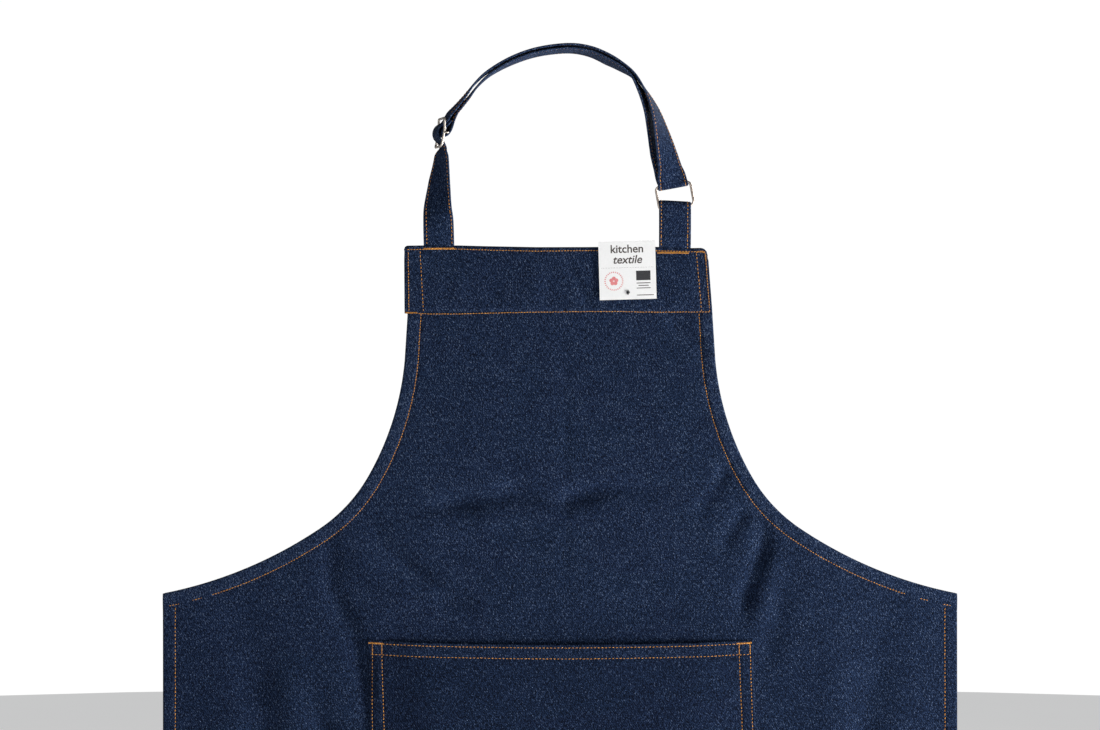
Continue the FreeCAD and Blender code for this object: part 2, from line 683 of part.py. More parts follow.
def make_stitching():
    front = "-" + HEM_Y
    proud = "%s - %s" % (front, cell("thread"))
    wide = cell("thread_width")

    end = cell("seam_end")
    top = cell("top_seam")
    band_seam = "%s - %s" % (BAND, cell("facing_seam"))

    block("stitch_bib_top", ("-%s + %s" % (cell("bib_left"), end), proud, drop(top)),
          ("%s - %s" % (cell("bib_right"), end), front, drop("%s - %s" % (top, wide))))
    block("stitch_facing", ("-%s + %s" % (cell("bib_left"), end), proud, drop(band_seam)),
          ("%s - %s" % (BODY, end), front, drop("%s - %s" % (band_seam, wide))))
    for side, name in ((-1, "left"), (1, "right")):
        arm_strip("stitch_armhole_" + name, side, "%s - %s / 2" % (cell("arm_hem"), wide),
                  "%s + %s / 2" % (cell("arm_hem"), wide), cell("thread"), front)

    half = cell("pocket_half")
    mouth = cell("pocket_top")
    pocket_proud = "%s - %s" % (POCKET_FRONT, cell("thread"))
    for number, below in ((1, cell("mouth_seam")), (2, cell("pocket_hem"))):
        deep = "%s + %s" % (mouth, below)
        block("stitch_pocket_hem_%d" % number,
              ("-%s + %s" % (half, cell("mouth_end")), pocket_proud, drop("%s + %s" % (deep, wide))),
              ("%s - %s" % (half, cell("mouth_end")), POCKET_FRONT, drop(deep)))
    side_low = drop("%s - %s" % (POCKET_LOW, cell("side_seam")))
    side_high = drop("%s + %s" % (mouth, cell("side_seam")))
    for side, name in ((-1, "left"), (1, "right")):
        for number, inset in ((1, cell("side_seam")), (2, cell("second_seam"))):
            middle = "%d * (%s - %s)" % (side, half, inset)
            block("stitch_pocket_%s_%d" % (name, number),
                  ("%s - %s / 2" % (middle, wide), pocket_proud, side_low),
                  ("%s + %s / 2" % (middle, wide), POCKET_FRONT, side_high))
        length = cell("pocket_tack")
        middle = "%d * (%s - %s - %s / 2)" % (side, half, cell("pocket_tack_in"), length)
        block("tack_pocket_" + name,
              ("%s - %s / 2" % (middle, length), pocket_proud, drop("%s + %s" % (mouth, cell("tack_low")))),
              ("%s + %s / 2" % (middle, length), POCKET_FRONT, drop("%s + %s" % (mouth, cell("tack_high")))))
    for name, middle in (("left", cell("left_strap_x")), ("right", cell("ring_strap_x"))):
        length = cell("neck_tack")
        block("tack_neck_" + name,
              ("%s - %s / 2" % (middle, length), proud, drop(cell("neck_tack_low"))),
              ("%s + %s / 2" % (middle, length), front, drop(cell("neck_tack_high"))))


make_panel()
make_facing()
make_hems()
make_pocket()
make_neck_strap()
make_ring_folds()
make_ring()
make_slider()
make_tag()
make_ties()
make_stitching()
DOC.recompute()

for item in DOC.Objects:
    if "Invalid" in item.State or "Error" in item.State:
        raise RuntimeError("%s failed: %s" % (item.Label, item.State))
for item in PARTS:
    if item.Shape.isNull() or not item.Shape.isValid():
        raise RuntimeError("%s has no valid shape" % item.Label)

os.makedirs("parts", exist_ok=True)
for item in PARTS:
    item.Shape.exportStep("parts/%s.step" % item.Label)
    box = item.Shape.BoundBox
    print("%-22s volume %9.1f  x %7.1f..%6.1f  y %6.2f..%5.2f  z %7.1f..%6.1f"
          % (item.Label, item.Shape.Volume, box.XMin, box.XMax, box.YMin, box.YMax, box.ZMin, box.ZMax))
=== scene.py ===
import math
import random

import bpy
import numpy as np
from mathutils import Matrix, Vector

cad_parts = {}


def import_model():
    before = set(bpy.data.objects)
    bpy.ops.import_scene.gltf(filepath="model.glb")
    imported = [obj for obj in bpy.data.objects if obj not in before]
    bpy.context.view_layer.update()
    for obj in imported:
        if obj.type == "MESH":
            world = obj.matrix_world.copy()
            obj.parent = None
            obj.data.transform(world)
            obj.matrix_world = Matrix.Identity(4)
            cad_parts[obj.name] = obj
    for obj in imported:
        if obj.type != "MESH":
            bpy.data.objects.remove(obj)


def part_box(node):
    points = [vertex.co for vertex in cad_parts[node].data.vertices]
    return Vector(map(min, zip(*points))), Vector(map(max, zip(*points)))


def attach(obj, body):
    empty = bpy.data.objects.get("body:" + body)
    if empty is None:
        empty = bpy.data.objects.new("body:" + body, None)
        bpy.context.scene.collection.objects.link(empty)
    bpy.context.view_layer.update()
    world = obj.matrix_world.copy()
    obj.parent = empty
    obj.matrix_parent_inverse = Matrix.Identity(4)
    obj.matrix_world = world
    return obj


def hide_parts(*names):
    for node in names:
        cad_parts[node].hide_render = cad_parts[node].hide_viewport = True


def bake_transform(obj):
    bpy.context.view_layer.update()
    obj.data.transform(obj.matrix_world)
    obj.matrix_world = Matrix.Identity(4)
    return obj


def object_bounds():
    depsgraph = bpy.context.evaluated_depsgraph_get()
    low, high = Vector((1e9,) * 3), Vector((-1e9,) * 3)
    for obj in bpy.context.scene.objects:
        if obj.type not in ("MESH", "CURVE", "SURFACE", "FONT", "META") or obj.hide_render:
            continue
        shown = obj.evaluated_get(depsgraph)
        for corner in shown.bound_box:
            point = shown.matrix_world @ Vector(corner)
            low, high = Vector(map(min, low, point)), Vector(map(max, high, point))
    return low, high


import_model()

# Lengths in this file are millimetres and are turned into metres when a mesh is made.
# Heights on the cloth, called h, are measured from the bib's top edge and are negative below it.
MM = 0.001
CAD_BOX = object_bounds()
random.seed(7)


def corner(node, which):
    """Lowest (0) or highest (1) corner of a CAD node, in millimetres."""
    return [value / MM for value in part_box(node)[which]]


BIB_TOP = corner("panel", 1)[2]
SKIRT_HALF = corner("panel", 1)[0]
HEM_DEEP = BIB_TOP - corner("panel", 0)[2]
LIFTED = np.array([0.0, 0.0, BIB_TOP])      # from heights below the bib's top edge to heights in the frame
CLOTH = 1.0
FACING_DEEP = 58.5
BIB_LEFT = -corner("bib_facing", 0)[0]
BIB_RIGHT = 129.4
BODY_HALF = 133.8
FACING_SLANT = 0.4        # how far the band's left edge leans in over its depth

# The armhole's edge: tangent arcs, with the angle taken from the vertical
ARM_START = (136.4, -99.4)
ARM_ANGLES = (5.0, 30.0, 56.0, 79.0)
ARM_RADII = (250.0, 137.0, 375.0)
ARM_HEM = 11.5
SIDE_HEM = 12.0
BOTTOM_HEM = 25.0

POCKET_HALF = corner("pocket", 1)[0]
POCKET_TOP = corner("pocket", 1)[2] - BIB_TOP + 2.0
POCKET_LOW = corner("pocket", 0)[2] - BIB_TOP
POCKET_SAG = 3.6
POCKET_ROOM = 6.0
POCKET_ROWS = (2.4, 12.0)        # hem stitching below the pocket's top edge
POCKET_SIDE_ROWS = (("left", 4.8, -2.0), ("left", 12.9, 0.0), ("right", 2.4, 0.0), ("right", 12.0, -0.4))

STRAP_WIDTH = 27.0
STRAP_THICK = 2.0
STRAP_SEAM = 2.4          # edge stitching in from the strap's edge
SEAMS = (STRAP_SEAM - STRAP_WIDTH / 2, STRAP_WIDTH / 2 - STRAP_SEAM)
TO_VIEWER = np.array([0.0, -1.0, 0.0])
SIDES_OF = {"left": -1, "right": 1}


# ------------------------------------------------------------------ small helpers

def smooth(value):
    value = np.clip(value, 0.0, 1.0)
    return value * value * (3.0 - 2.0 * value)


def unit(vector):
    vector = np.asarray(vector, float)
    return vector / np.linalg.norm(vector, axis=-1, keepdims=True)


def ridge(value, width):
    """1 at zero, fading away over the width on both sides."""
    return np.exp(-(value / width) ** 2)


def rounded(gap, reach):
    """1 at an edge, falling to 0 at the reach: the way a cut edge rolls off."""
    return np.clip(1 - gap / reach, 0, 1) ** 2


def run_along(points):
    """Length along a line up to each of its points."""
    return np.concatenate([[0], np.cumsum(np.linalg.norm(np.diff(points, axis=0), axis=1))])


def circle(middle, radius, step):
    """Outline of a round shape, with a corner every step degrees."""
    turns = [math.radians(turn) for turn in range(0, 360, step)]
    return [(middle[0] + radius * math.cos(turn), middle[1] + radius * math.sin(turn)) for turn in turns]


def wall_faces(rings, sides, base=0, closed=False):
    """Faces between rings of points that follow one another, with a cap at both ends of an open tube."""
    faces = []
    for ring in range(rings if closed else rings - 1):
        here = base + ring * sides
        there = base + (ring + 1) % rings * sides
        for side in range(sides):
            after = (side + 1) % sides
            faces.append([here + side, here + after, there + after, there + side])
    if not closed:
        last = base + (rings - 1) * sides
        faces.append([base + side for side in reversed(range(sides))])
        faces.append([last + side for side in range(sides)])
    return faces


def settle(obj, slot, body=None, nodes=(), blend=None):
    """Hide the nodes a piece replaces, then attach it to its body's empty, or bake its place into the mesh
    when blend is given. The slot is not used.
    """
    if nodes:
        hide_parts(*nodes)
    if blend:
        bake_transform(obj)
    else:
        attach(obj, body)
    return obj


def add_object(name, mesh, material):
    obj = bpy.data.objects.new(name, mesh)
    bpy.context.collection.objects.link(obj)
    mesh.materials.append(material)
    return obj


def make_mesh(name, points, faces, material, weave=None, wear_and_shade=None, flat=False):
    """Mesh from points in millimetres; weave holds each point's place on the cut cloth."""
    mesh = bpy.data.meshes.new(name)
    mesh.from_pydata((np.asarray(points, float) * MM).tolist(), [], faces)
    mesh.update()
    if not flat:
        mesh.polygons.foreach_set("use_smooth", [True] * len(mesh.polygons))
    if weave is not None:
        layer = mesh.uv_layers.new(name="weave")
        index = np.zeros(len(mesh.loops), dtype=int)
        mesh.loops.foreach_get("vertex_index", index)
        layer.data.foreach_set("uv", (np.asarray(weave, float)[index] * MM).ravel())
    # per-point wear, with painted shade where the value is negative
    if wear_and_shade is not None:
        attribute = mesh.attributes.new("wear_and_shade", "FLOAT", "POINT")
        attribute.data.foreach_set("value", np.asarray(wear_and_shade, np.float32))
    return add_object(name, mesh, material)


# ------------------------------------------------------------------ materials

def new_material(name):
    material = bpy.data.materials.new(name)
    material.use_nodes = True
    tree = material.node_tree
    tree.nodes.clear()
    output = tree.nodes.new("ShaderNodeOutputMaterial")
    shader = tree.nodes.new("ShaderNodeBsdfPrincipled")
    tree.links.new(shader.outputs["BSDF"], output.inputs["Surface"])
    return material, tree, shader


def node(tree, kind, **settings):
    item = tree.nodes.new(kind)
    for key, value in settings.items():
        setattr(item, key, value)
    return item


def math_node(tree, operation, first, second=None, third=None):
    item = node(tree, "ShaderNodeMath", operation=operation)
    for slot, value in enumerate((first, second, third)):
        if value is None:
            continue
        if isinstance(value, (int, float)):
            item.inputs[slot].default_value = value
        else:
            tree.links.new(value, item.inputs[slot])
    return item.outputs[0]


def put(item, values):
    """Set a node's own inputs by name."""
    for name, value in values.items():
        item.inputs[name].default_value = value


def mapped(tree, source, scale, turn=0.0):
    item = node(tree, "ShaderNodeMapping")
    put(item, {"Scale": scale, "Rotation": (0, 0, turn)})
    tree.links.new(source, item.inputs["Vector"])
    return item.outputs[0]


def noise_node(tree, source, scale, detail=2.0, rough=0.6):
    item = node(tree, "ShaderNodeTexNoise")
    put(item, {"Scale": scale, "Detail": detail, "Roughness": rough})
    tree.links.new(source, item.inputs["Vector"])
    return item.outputs["Fac"]


def ramp(tree, source, stops):
    item = node(tree, "ShaderNodeValToRGB")
    elements = item.color_ramp.elements
    while len(elements) < len(stops):
        elements.new(0.5)
    for element, (place, colour) in zip(elements, stops):
        element.position = place
        element.color = (*colour, 1.0)
    tree.links.new(source, item.inputs["Fac"])
    return item.outputs["Color"]


def wave_node(tree, source, direction, values):
    item = node(tree, "ShaderNodeTexWave", wave_type="BANDS", bands_direction=direction)
    put(item, values)
    tree.links.new(source, item.inputs["Vector"])
    return item.outputs["Fac"]


def add_relief(tree, shader, height, strength, distance):
    relief = node(tree, "ShaderNodeBump")
    put(relief, {"Strength": strength, "Distance": distance})
    tree.links.new(height, relief.inputs["Height"])
    tree.links.new(relief.outputs["Normal"], shader.inputs["Normal"])


def two_tone(name, dark, light, scale, detail=3.0):
    """Material that drifts between two near tones, with the places and the drift to build on."""
    material, tree, shader = new_material(name)
    place = node(tree, "ShaderNodeTexCoord").outputs["Object"]
    drift = noise_node(tree, place, scale, detail)
    tree.links.new(ramp(tree, drift, [(0.3, dark), (0.7, light)]), shader.inputs["Base Color"])
    return material, tree, shader, place, drift


def denim(name, shade=1.0, pale=0.0):
    """Indigo twill: slubby warp, pale weft specks between the twill lines, wear on raised edges, and painted
    shade where the per-point wear channel goes below zero.
    """
    material, tree, shader = new_material(name)
    place = node(tree, "ShaderNodeUVMap", uv_map="weave").outputs["UV"]
    slub = noise_node(tree, mapped(tree, place, (900, 280, 1)), 1.0)
    speck = noise_node(tree, mapped(tree, place, (690, 860, 1), 0.5), 1.0, 1.8, 0.7)
    twill = wave_node(tree, mapped(tree, place, (1, 1, 1), -0.646), "X",
                      {"Scale": 196.0, "Distortion": 0.8, "Detail": 1.0, "Detail Scale": 2.0})
    mottle = noise_node(tree, mapped(tree, place, (90, 60, 1)), 1.0, 3.0)
    wide = noise_node(tree, mapped(tree, place, (22, 15, 1)), 1.0, 2.0, 0.5)
    # per-point channel: wear lightens raised edges, negative values are painted shade
    wear_and_shade = node(tree, "ShaderNodeAttribute", attribute_name="wear_and_shade").outputs["Fac"]
    tone = -1.41
    weights = ((slub, 1.40), (speck, 1.88), (twill, 0.16), (mottle, 0.26), (wide, 0.10), (wear_and_shade, 0.14))
    for part, weight in weights:
        tone = math_node(tree, "MULTIPLY_ADD", part, weight, tone)

    def tint(red, green, blue):
        return (red * shade + 0.80 * pale, green * shade + 0.90 * pale, blue * shade + pale)

    colour = ramp(tree, tone, [
        (0.14, tint(0.0010, 0.0024, 0.0077)),
        (0.36, tint(0.0034, 0.0081, 0.0226)),
        (0.56, tint(0.0074, 0.0159, 0.0422)),
        (0.74, tint(0.0176, 0.0323, 0.0730)),
        (0.96, tint(0.0760, 0.1010, 0.1550)),
    ])
    tree.links.new(colour, shader.inputs["Base Color"])
    tree.links.new(math_node(tree, "MULTIPLY_ADD", slub, 0.14, 0.82), shader.inputs["Roughness"])
    put(shader, {"Specular IOR Level": 0.07, "Sheen Weight": 0.02, "Sheen Roughness": 0.45,
                 "Sheen Tint": (0.55, 0.65, 0.85, 1)})
    add_relief(tree, shader, math_node(tree, "MULTIPLY_ADD", twill, 0.7, slub), 0.7, 0.0002)
    return material


def thread_material(name, dark, light):
    """Twisted sewing thread: colour drifts along the seam, plies show as fine relief."""
    material, tree, shader, place, _drift = two_tone(name, dark, light, 240.0, 2.0)
    put(shader, {"Roughness": 0.62, "Specular IOR Level": 0.25, "Sheen Weight": 0.15})
    add_relief(tree, shader, wave_node(tree, place, "DIAGONAL", {"Scale": 900.0}), 0.35, 0.0001)
    return material


def metal_material(name, dark, light, rough):
    """Plated wire with a slightly uneven polish and faint drawing lines."""
    material, tree, shader, place, drift = two_tone(name, dark, light, 160.0)
    put(shader, {"Metallic": 1.0})
    tree.links.new(math_node(tree, "MULTIPLY_ADD", drift, 0.16, rough), shader.inputs["Roughness"])
    lines = noise_node(tree, mapped(tree, place, (900, 900, 3500)), 1.0)
    add_relief(tree, shader, lines, 0.12, 0.00005)
    return material


def plain_material(name, dark, light, rough, grain_scale, grain_depth):
    """Card, ink or nylon: two near tones, a fine grain in the roughness and the relief."""
    material, tree, shader, _place, drift = two_tone(name, dark, light, grain_scale)
    tree.links.new(math_node(tree, "MULTIPLY_ADD", drift, 0.12, rough), shader.inputs["Roughness"])
    add_relief(tree, shader, drift, 0.2, grain_depth)
    return material


DENIM = denim("denim")
DENIM_STRAP = denim("denim_strap", 1.12)
DENIM_BACK = denim("denim_turned", 1.05)
DENIM_INSIDE = denim("denim_inside", 1.7, 0.055)       # the paler wrong side of the cloth
THREAD = thread_material("ochre_thread", (0.32, 0.125, 0.016), (0.58, 0.250, 0.036))
NICKEL_RING = metal_material("nickel_ring", (0.56, 0.46, 0.39), (0.72, 0.63, 0.56), 0.24)
NICKEL_SLIDER = metal_material("nickel_slider", (0.46, 0.41, 0.36), (0.64, 0.59, 0.53), 0.38)
CARD = plain_material("tag_card", (0.711, 0.711, 0.707), (0.747, 0.747, 0.743), 0.6, 900.0, 0.00002)
INK_GREY = plain_material("ink_grey", (0.040, 0.032, 0.028), (0.062, 0.050, 0.044), 0.6, 1500.0, 0.00001)
INK_DARK = plain_material("ink_dark", (0.012, 0.012, 0.014), (0.03, 0.03, 0.034), 0.5, 1500.0, 0.00001)
INK_ROSE = plain_material("ink_rose", (0.56, 0.16, 0.17), (0.68, 0.24, 0.24), 0.6, 1500.0, 0.00001)
NYLON = plain_material("dark_nylon", (0.012, 0.012, 0.013), (0.03, 0.03, 0.032), 0.35, 600.0, 0.00002)


# ------------------------------------------------------------------ the cut of the apron

def armhole_line(inset=0.0, step=2.5, side=1):
    """Points (x, h) down the armhole's edge, from the band to the waist corner."""
    start_x, start_h = ARM_START
    count = 17
    line = [(BODY_HALF + (start_x - BODY_HALF) * t - inset, -FACING_DEEP + (start_h + FACING_DEEP) * t)
            for t in np.linspace(0.0, 1.0, count)[:-1]]
    x, h = start_x, start_h
    for before, after, radius in zip(ARM_ANGLES, ARM_ANGLES[1:], ARM_RADII):
        first = math.radians(before)
        last = math.radians(after)
        pieces = max(2, int(radius * (last - first) / step))
        for index in range(pieces):
            angle = first + (last - first) * index / pieces
            edge_x = x + radius * (math.cos(first) - math.cos(angle))
            edge_h = h - radius * (math.sin(angle) - math.sin(first))
            line.append((edge_x - inset * math.cos(angle), edge_h - inset * math.sin(angle)))
        x += radius * (math.cos(first) - math.cos(last))
        h -= radius * (math.sin(last) - math.sin(first))
    line.append((x - inset * math.cos(last), h - inset * math.sin(last)))
    return np.array(line) * (side, 1)


ARM_LINE = armhole_line()
WAIST_H = ARM_LINE[-1][1]


def half_width(h):
    """Half width of the cloth below the band."""
    return np.interp(-h, np.append(-ARM_LINE[:, 1], HEM_DEEP), np.append(ARM_LINE[:, 0], SKIRT_HALF))


TOP_WAVE = ((-137, 0.9), (-118, 1.15), (-88, 1.1), (-66, 0.5), (-20, -0.4), (20, -0.35), (75, 0.1),
            (104, -0.6), (116, -1.2), (130, -0.9))      # the bib's top edge is not quite straight
CORNER_LEFT = 3.0
CORNER_RIGHT = 6.0


def corner_drop(gap, radius):
    inside = np.clip(radius - gap, 0, radius)
    return radius - np.sqrt(radius ** 2 - inside ** 2)


def sewn_height(x, h):
    """Height with the wavy top edge and the rounded corners of the band taken in."""
    wave_x, wave_h = np.array(TOP_WAVE).T
    shift = np.interp(x, wave_x, wave_h)
    shift = shift - corner_drop(x + BIB_LEFT, CORNER_LEFT) - corner_drop(BIB_RIGHT - x, CORNER_RIGHT)
    return h + shift * smooth((h + 14.0) / 14.0)


def left_edge(h):
    band = -BIB_LEFT + FACING_SLANT * (-h / FACING_DEEP)
    return np.where(h > -FACING_DEEP, band, -half_width(h))


def right_edge(h):
    band = BIB_RIGHT + (BODY_HALF - BIB_RIGHT) * (-h / FACING_DEEP)
    return np.where(h > -FACING_DEEP, band, half_width(h))


def line_distance(x, h, line):
    """Distance from each (x, h) to a polyline, and how far along the line the nearest point lies."""
    line = np.asarray(line, float)
    shape = np.shape(x)
    points = np.stack([np.ravel(x), np.ravel(h)], axis=1)
    nearest = np.full(len(points), 1e9)
    along = np.zeros(len(points))
    run = 0.0
    for start, end in zip(line[:-1], line[1:]):
        step = end - start
        length = float(np.hypot(*step))
        share = np.clip(((points - start) @ step) / length ** 2, 0, 1)
        gap = np.hypot(*(points - start - share[:, None] * step).T)
        closer = gap < nearest
        nearest = np.where(closer, gap, nearest)
        along = np.where(closer, run + share * length, along)
        run += length
    return nearest.reshape(shape), along.reshape(shape), run


# Soft creases of a folded apron: (points, depth, half width); a valley when the depth is positive.
CREASES = [
    ([(-147, -209), (-112, -226), (-73, -223), (-41, -216), (0, -223), (53, -211), (88, -212)], 2.8, 9),
    ([(-170, -240), (-152, -267), (-132, -284), (-99, -308), (-62, -315)], 2.8, 9),
    ([(-202, -256), (-203, -302), (-184, -337), (-173, -380), (-172, -430)], 2.6, 9),
    ([(-222, -388), (-212, -425), (-205, -480), (-212, -560)], 3.0, 12),
    ([(179, -240), (178, -267), (164, -302), (158, -330)], 2.4, 8),
    ([(164, -230), (150, -250), (143, -268)], 1.6, 7),
    ([(150, -188), (134, -217), (120, -236)], 1.4, 7),
    ([(92, -62), (120, -84), (128, -104)], 1.4, 6),
    ([(4, -60), (5, -160), (4, -340)], 0.32, 5),
    ([(-52, -322), (20, -330), (90, -322)], 0.9, 14),
    ([(198, -290), (190, -330), (178, -372)], 1.3, 10),
    ([(-280, -330), (-262, -420), (-270, -540), (-262, -640)], 3.0, 18),
    ([(286, -330), (268, -430), (279, -560), (266, -660)], 3.0, 18),
    ([(-120, -560), (-135, -660), (-128, -780)], 3.2, 20),
    ([(96, -560), (108, -660), (100, -780)], 3.0, 20),
    ([(-4, -560), (2, -650), (-2, -790)], 2.2, 16),
]
RIDGES = [
    ([(-140, -236), (-90, -244), (-30, -240)], 1.0, 12),
    ([(-190, -262), (-160, -296), (-120, -322)], 1.3, 10),
    ([(190, -262), (184, -300), (172, -335)], 1.3, 10),
    ([(-232, -330), (-238, -420), (-230, -520)], 1.3, 18),
    ([(244, -340), (242, -440), (250, -560)], 0.9, 18),
    ([(-60, -590), (-66, -700), (-58, -790)], 2.6, 22),
    ([(50, -590), (54, -700), (48, -790)], 2.4, 22),
    ([(-200, -600), (-196, -700), (-204, -795)], 2.6, 22),
    ([(190, -600), (184, -700), (196, -795)], 2.6, 22),
]


def fold_field(x, h, folds):
    total = np.zeros(np.shape(x))
    for line, depth, reach in folds:
        gap, along, length = line_distance(x, h, line)
        ends = smooth(np.minimum(along, length - along) / (0.3 * length))
        ends = np.where(gap > 3 * reach, 0.0, 0.25 + 0.75 * ends)
        wobble = 1.0 + 0.25 * np.sin(along / 9.0 + depth * 5)
        total += depth * wobble * ends * np.exp(-(gap / reach) ** 2)
    return total


def drape(x, h):
    """How far the cloth comes towards the viewer, large soft shapes only."""
    x = np.asarray(x, float)
    h = np.asarray(h, float)
    low = smooth((-h - 60.0) / 500.0)
    hem = smooth((-h - 420.0) / 380.0)
    waves = 0.5 * np.sin(x / 31.0 + 0.6) * np.sin(h / 47.0 + 1.1)
    waves += low * 0.8 * (1.0 + np.sin(x / 74.0 - 0.4 + h / 260.0))
    waves += hem * 3.0 * (1.0 + np.sin(x / 41.0 + 0.9 + 0.5 * np.sin(h / 160.0)))
    waves += 3.6 * smooth((-h - 330.0) / 150.0) * smooth((335.0 - np.abs(x)) / 60.0)
    gain = 1.0 + 0.7 * smooth((h + 620) / 200.0)
    return waves + gain * (fold_field(x, h, RIDGES) - fold_field(x, h, CREASES))


BAND_RIDGES = [
    ([(-91, -4), (-88, -56)], 0.9, 8),
    ([(-20, -6), (-24, -56)], 0.9, 9),
    ([(42, -12), (46, -54)], 0.6, 8),
    ([(112, -14), (114, -52)], 0.5, 6),
]
BAND_VALLEYS = [
    ([(5, -6), (14, -28), (28, -56)], 1.7, 4.5),
    ([(-60, -8), (-56, -54)], 0.7, 8),
    ([(-117, -10), (-112, -54)], 0.7, 6),
    ([(84, -50), (104, -58), (122, -60)], 0.8, 6),
]


def band_folds(x, h):
    """Soft upright ripples in the doubled band at the top of the bib."""
    inside = smooth(-h / 10.0) * smooth((h + FACING_DEEP + 8) / 14.0)
    ripple = 0.35 * np.sin(x / 8.5 + 0.6 * np.sin(h / 21.0)) * np.sin(x / 37.0 + 1.3)
    return inside * (ripple + fold_field(x, h, BAND_RIDGES) - fold_field(x, h, BAND_VALLEYS))


def seam_relief(x, h):
    """Fine relief of the sewn edges: raised hems, grooves under the stitching and puckers."""
    side = np.where(x < 0, -1.0, 1.0)
    gap, along, _length = line_distance(np.abs(x), h, ARM_LINE)
    pucker = np.sin(along / 1.9 + 1.7 * np.sin(along / 7.3) + side)
    hem = 0.55 * smooth((ARM_HEM - gap) / 2.5)
    groove = -(0.50 + 0.16 * pucker) * ridge(gap - ARM_HEM, 1.25)
    ripple = 0.22 * pucker * ridge(gap - 6.0, 4.5)
    pull = 0.30 * np.sin(along / 5.1 + side) * ridge(gap - 17.0, 6.0)
    below = smooth((-h - FACING_DEEP) / 2.0)
    total = below * (hem + groove + ripple + pull - 0.7 * rounded(gap, 1.6))

    row = FACING_DEEP - 1.4
    total += 0.45 * smooth((h + row) / 3.0) * smooth(-h / 2.0) - 0.8 * rounded(-h, 1.6)
    total -= (0.45 + 0.12 * np.sin(x / 2.1)) * ridge(h + row, 1.3) + 0.35 * ridge(h + 3.0, 1.2)

    side_gap = SKIRT_HALF - np.abs(x)
    skirt = smooth((-h + WAIST_H - 8) / 6.0)
    total += skirt * (0.4 * smooth((SIDE_HEM - side_gap) / 2.5) - 0.4 * ridge(side_gap - SIDE_HEM + 1.5, 1.3)
                      - 0.6 * rounded(side_gap, 1.6))
    hem_gap = HEM_DEEP + h
    total += (0.4 * smooth((BOTTOM_HEM - hem_gap) / 3.0) - 0.45 * ridge(hem_gap - BOTTOM_HEM + 1.5, 1.3)
              - 0.6 * rounded(hem_gap, 1.6))
    return total


def front_of(x, h):
    """Y of the panel's middle surface."""
    return -(drape(x, h) + band_folds(x, h) + seam_relief(x, h))


def back_of(x, h):
    """Y of the panel without the fine front relief, for layers behind it."""
    return -(drape(x, h) + band_folds(x, h))


# ------------------------------------------------------------------ sheets of cloth

def sheet_piece(name, x, h, y, thick, material, wear_and_shade=0.0, inside=None):
    """Closed thin shell over a grid of places, with a rounded rim; its back may have another material."""
    rows, columns = x.shape
    count = rows * columns
    place = np.stack([x, y, sewn_height(x, h) + BIB_TOP], axis=-1)
    facing = unit(np.cross(np.gradient(place, axis=1), np.gradient(place, axis=0)))
    if facing[:, :, 1].mean() > 0:
        facing = -facing
    front = (place + facing * thick / 2).reshape(-1, 3)
    back = (place - facing * thick / 2).reshape(-1, 3)
    rim = ([(0, c) for c in range(columns)] + [(r, columns - 1) for r in range(1, rows)]
           + [(rows - 1, c) for c in range(columns - 2, -1, -1)] + [(r, 0) for r in range(rows - 2, 0, -1)])
    rim_index = [r * columns + c for r, c in rim]
    inner = [min(max(r, 1), rows - 2) * columns + min(max(c, 1), columns - 2) for r, c in rim]
    flat = place.reshape(-1, 3)
    edge = flat[rim_index] + unit(flat[rim_index] - flat[inner]) * thick * 0.42
    points = np.concatenate([front, back, edge])
    index = np.arange(count).reshape(rows, columns)
    corners = np.stack([index[:-1, :-1], index[:-1, 1:], index[1:, 1:], index[1:, :-1]], axis=-1)
    corners = corners.reshape(-1, 4)
    start, right, below = points[corners[0][:3]]
    turned = np.cross(right - start, below - start)[1] > 0
    if turned:
        corners = corners[:, ::-1]
    faces = corners.tolist() + (corners[:, ::-1] + count).tolist()
    total = len(rim)
    for here in range(total):
        there = (here + 1) % total
        a, b = rim_index[here], rim_index[there]
        e, f = 2 * count + here, 2 * count + there
        strip = [[b, a, e, f], [f, e, a + count, b + count]]
        faces += [face[::-1] for face in strip] if turned else strip
    weave = np.stack([x.ravel(), h.ravel()], axis=1)
    weave = np.concatenate([weave, weave + 3.7, weave[rim_index]])
    wear_and_shade = np.broadcast_to(wear_and_shade, x.shape).ravel()
    wear_and_shade = np.concatenate([wear_and_shade, wear_and_shade * 0.4, np.full(total, 0.9)])
    obj = make_mesh(name, points, faces, material, weave, wear_and_shade)
    if inside:
        obj.data.materials.append(inside)
        chosen = np.zeros(len(faces), dtype=np.int32)
        chosen[len(corners):2 * len(corners)] = 1
        obj.data.polygons.foreach_set("material_index", chosen)
    return obj


EDGE_STEPS = np.array([0, 0.7, 1.5, 2.6, 4.0, 5.6, 7.2, 8.8, 10.2, 11.0, 11.8, 12.8, 14.2, 16.0, 18.5])


def span(left, right, middle):
    """Columns that are close together beside both edges."""
    reach = EDGE_STEPS[-1]
    centre = np.linspace(left + reach, right - reach, middle)[1:-1]
    return np.concatenate([left + EDGE_STEPS, centre, right - EDGE_STEPS[::-1]])


def cloth_sheet(name, grid, y, thick, material, node_name, flat, wear_and_shade=0.0, inside=None, **kept):
    """A sheet sewn to the apron, attached to the apron's body. The cut size, flat, is not used."""
    obj = sheet_piece(name, *grid, y, thick * CLOTH, material, wear_and_shade, inside)
    settle(obj, "denim", "apron", [node_name])


def sewn_grid(heights, middle, inset=0.0):
    """Grid of (x, h) from edge to edge of the cloth at the given heights."""
    x = np.stack([span(float(left_edge(h)) + inset, float(right_edge(h)) - inset, middle) for h in heights])
    return x, np.repeat(heights[:, None], x.shape[1], axis=1)


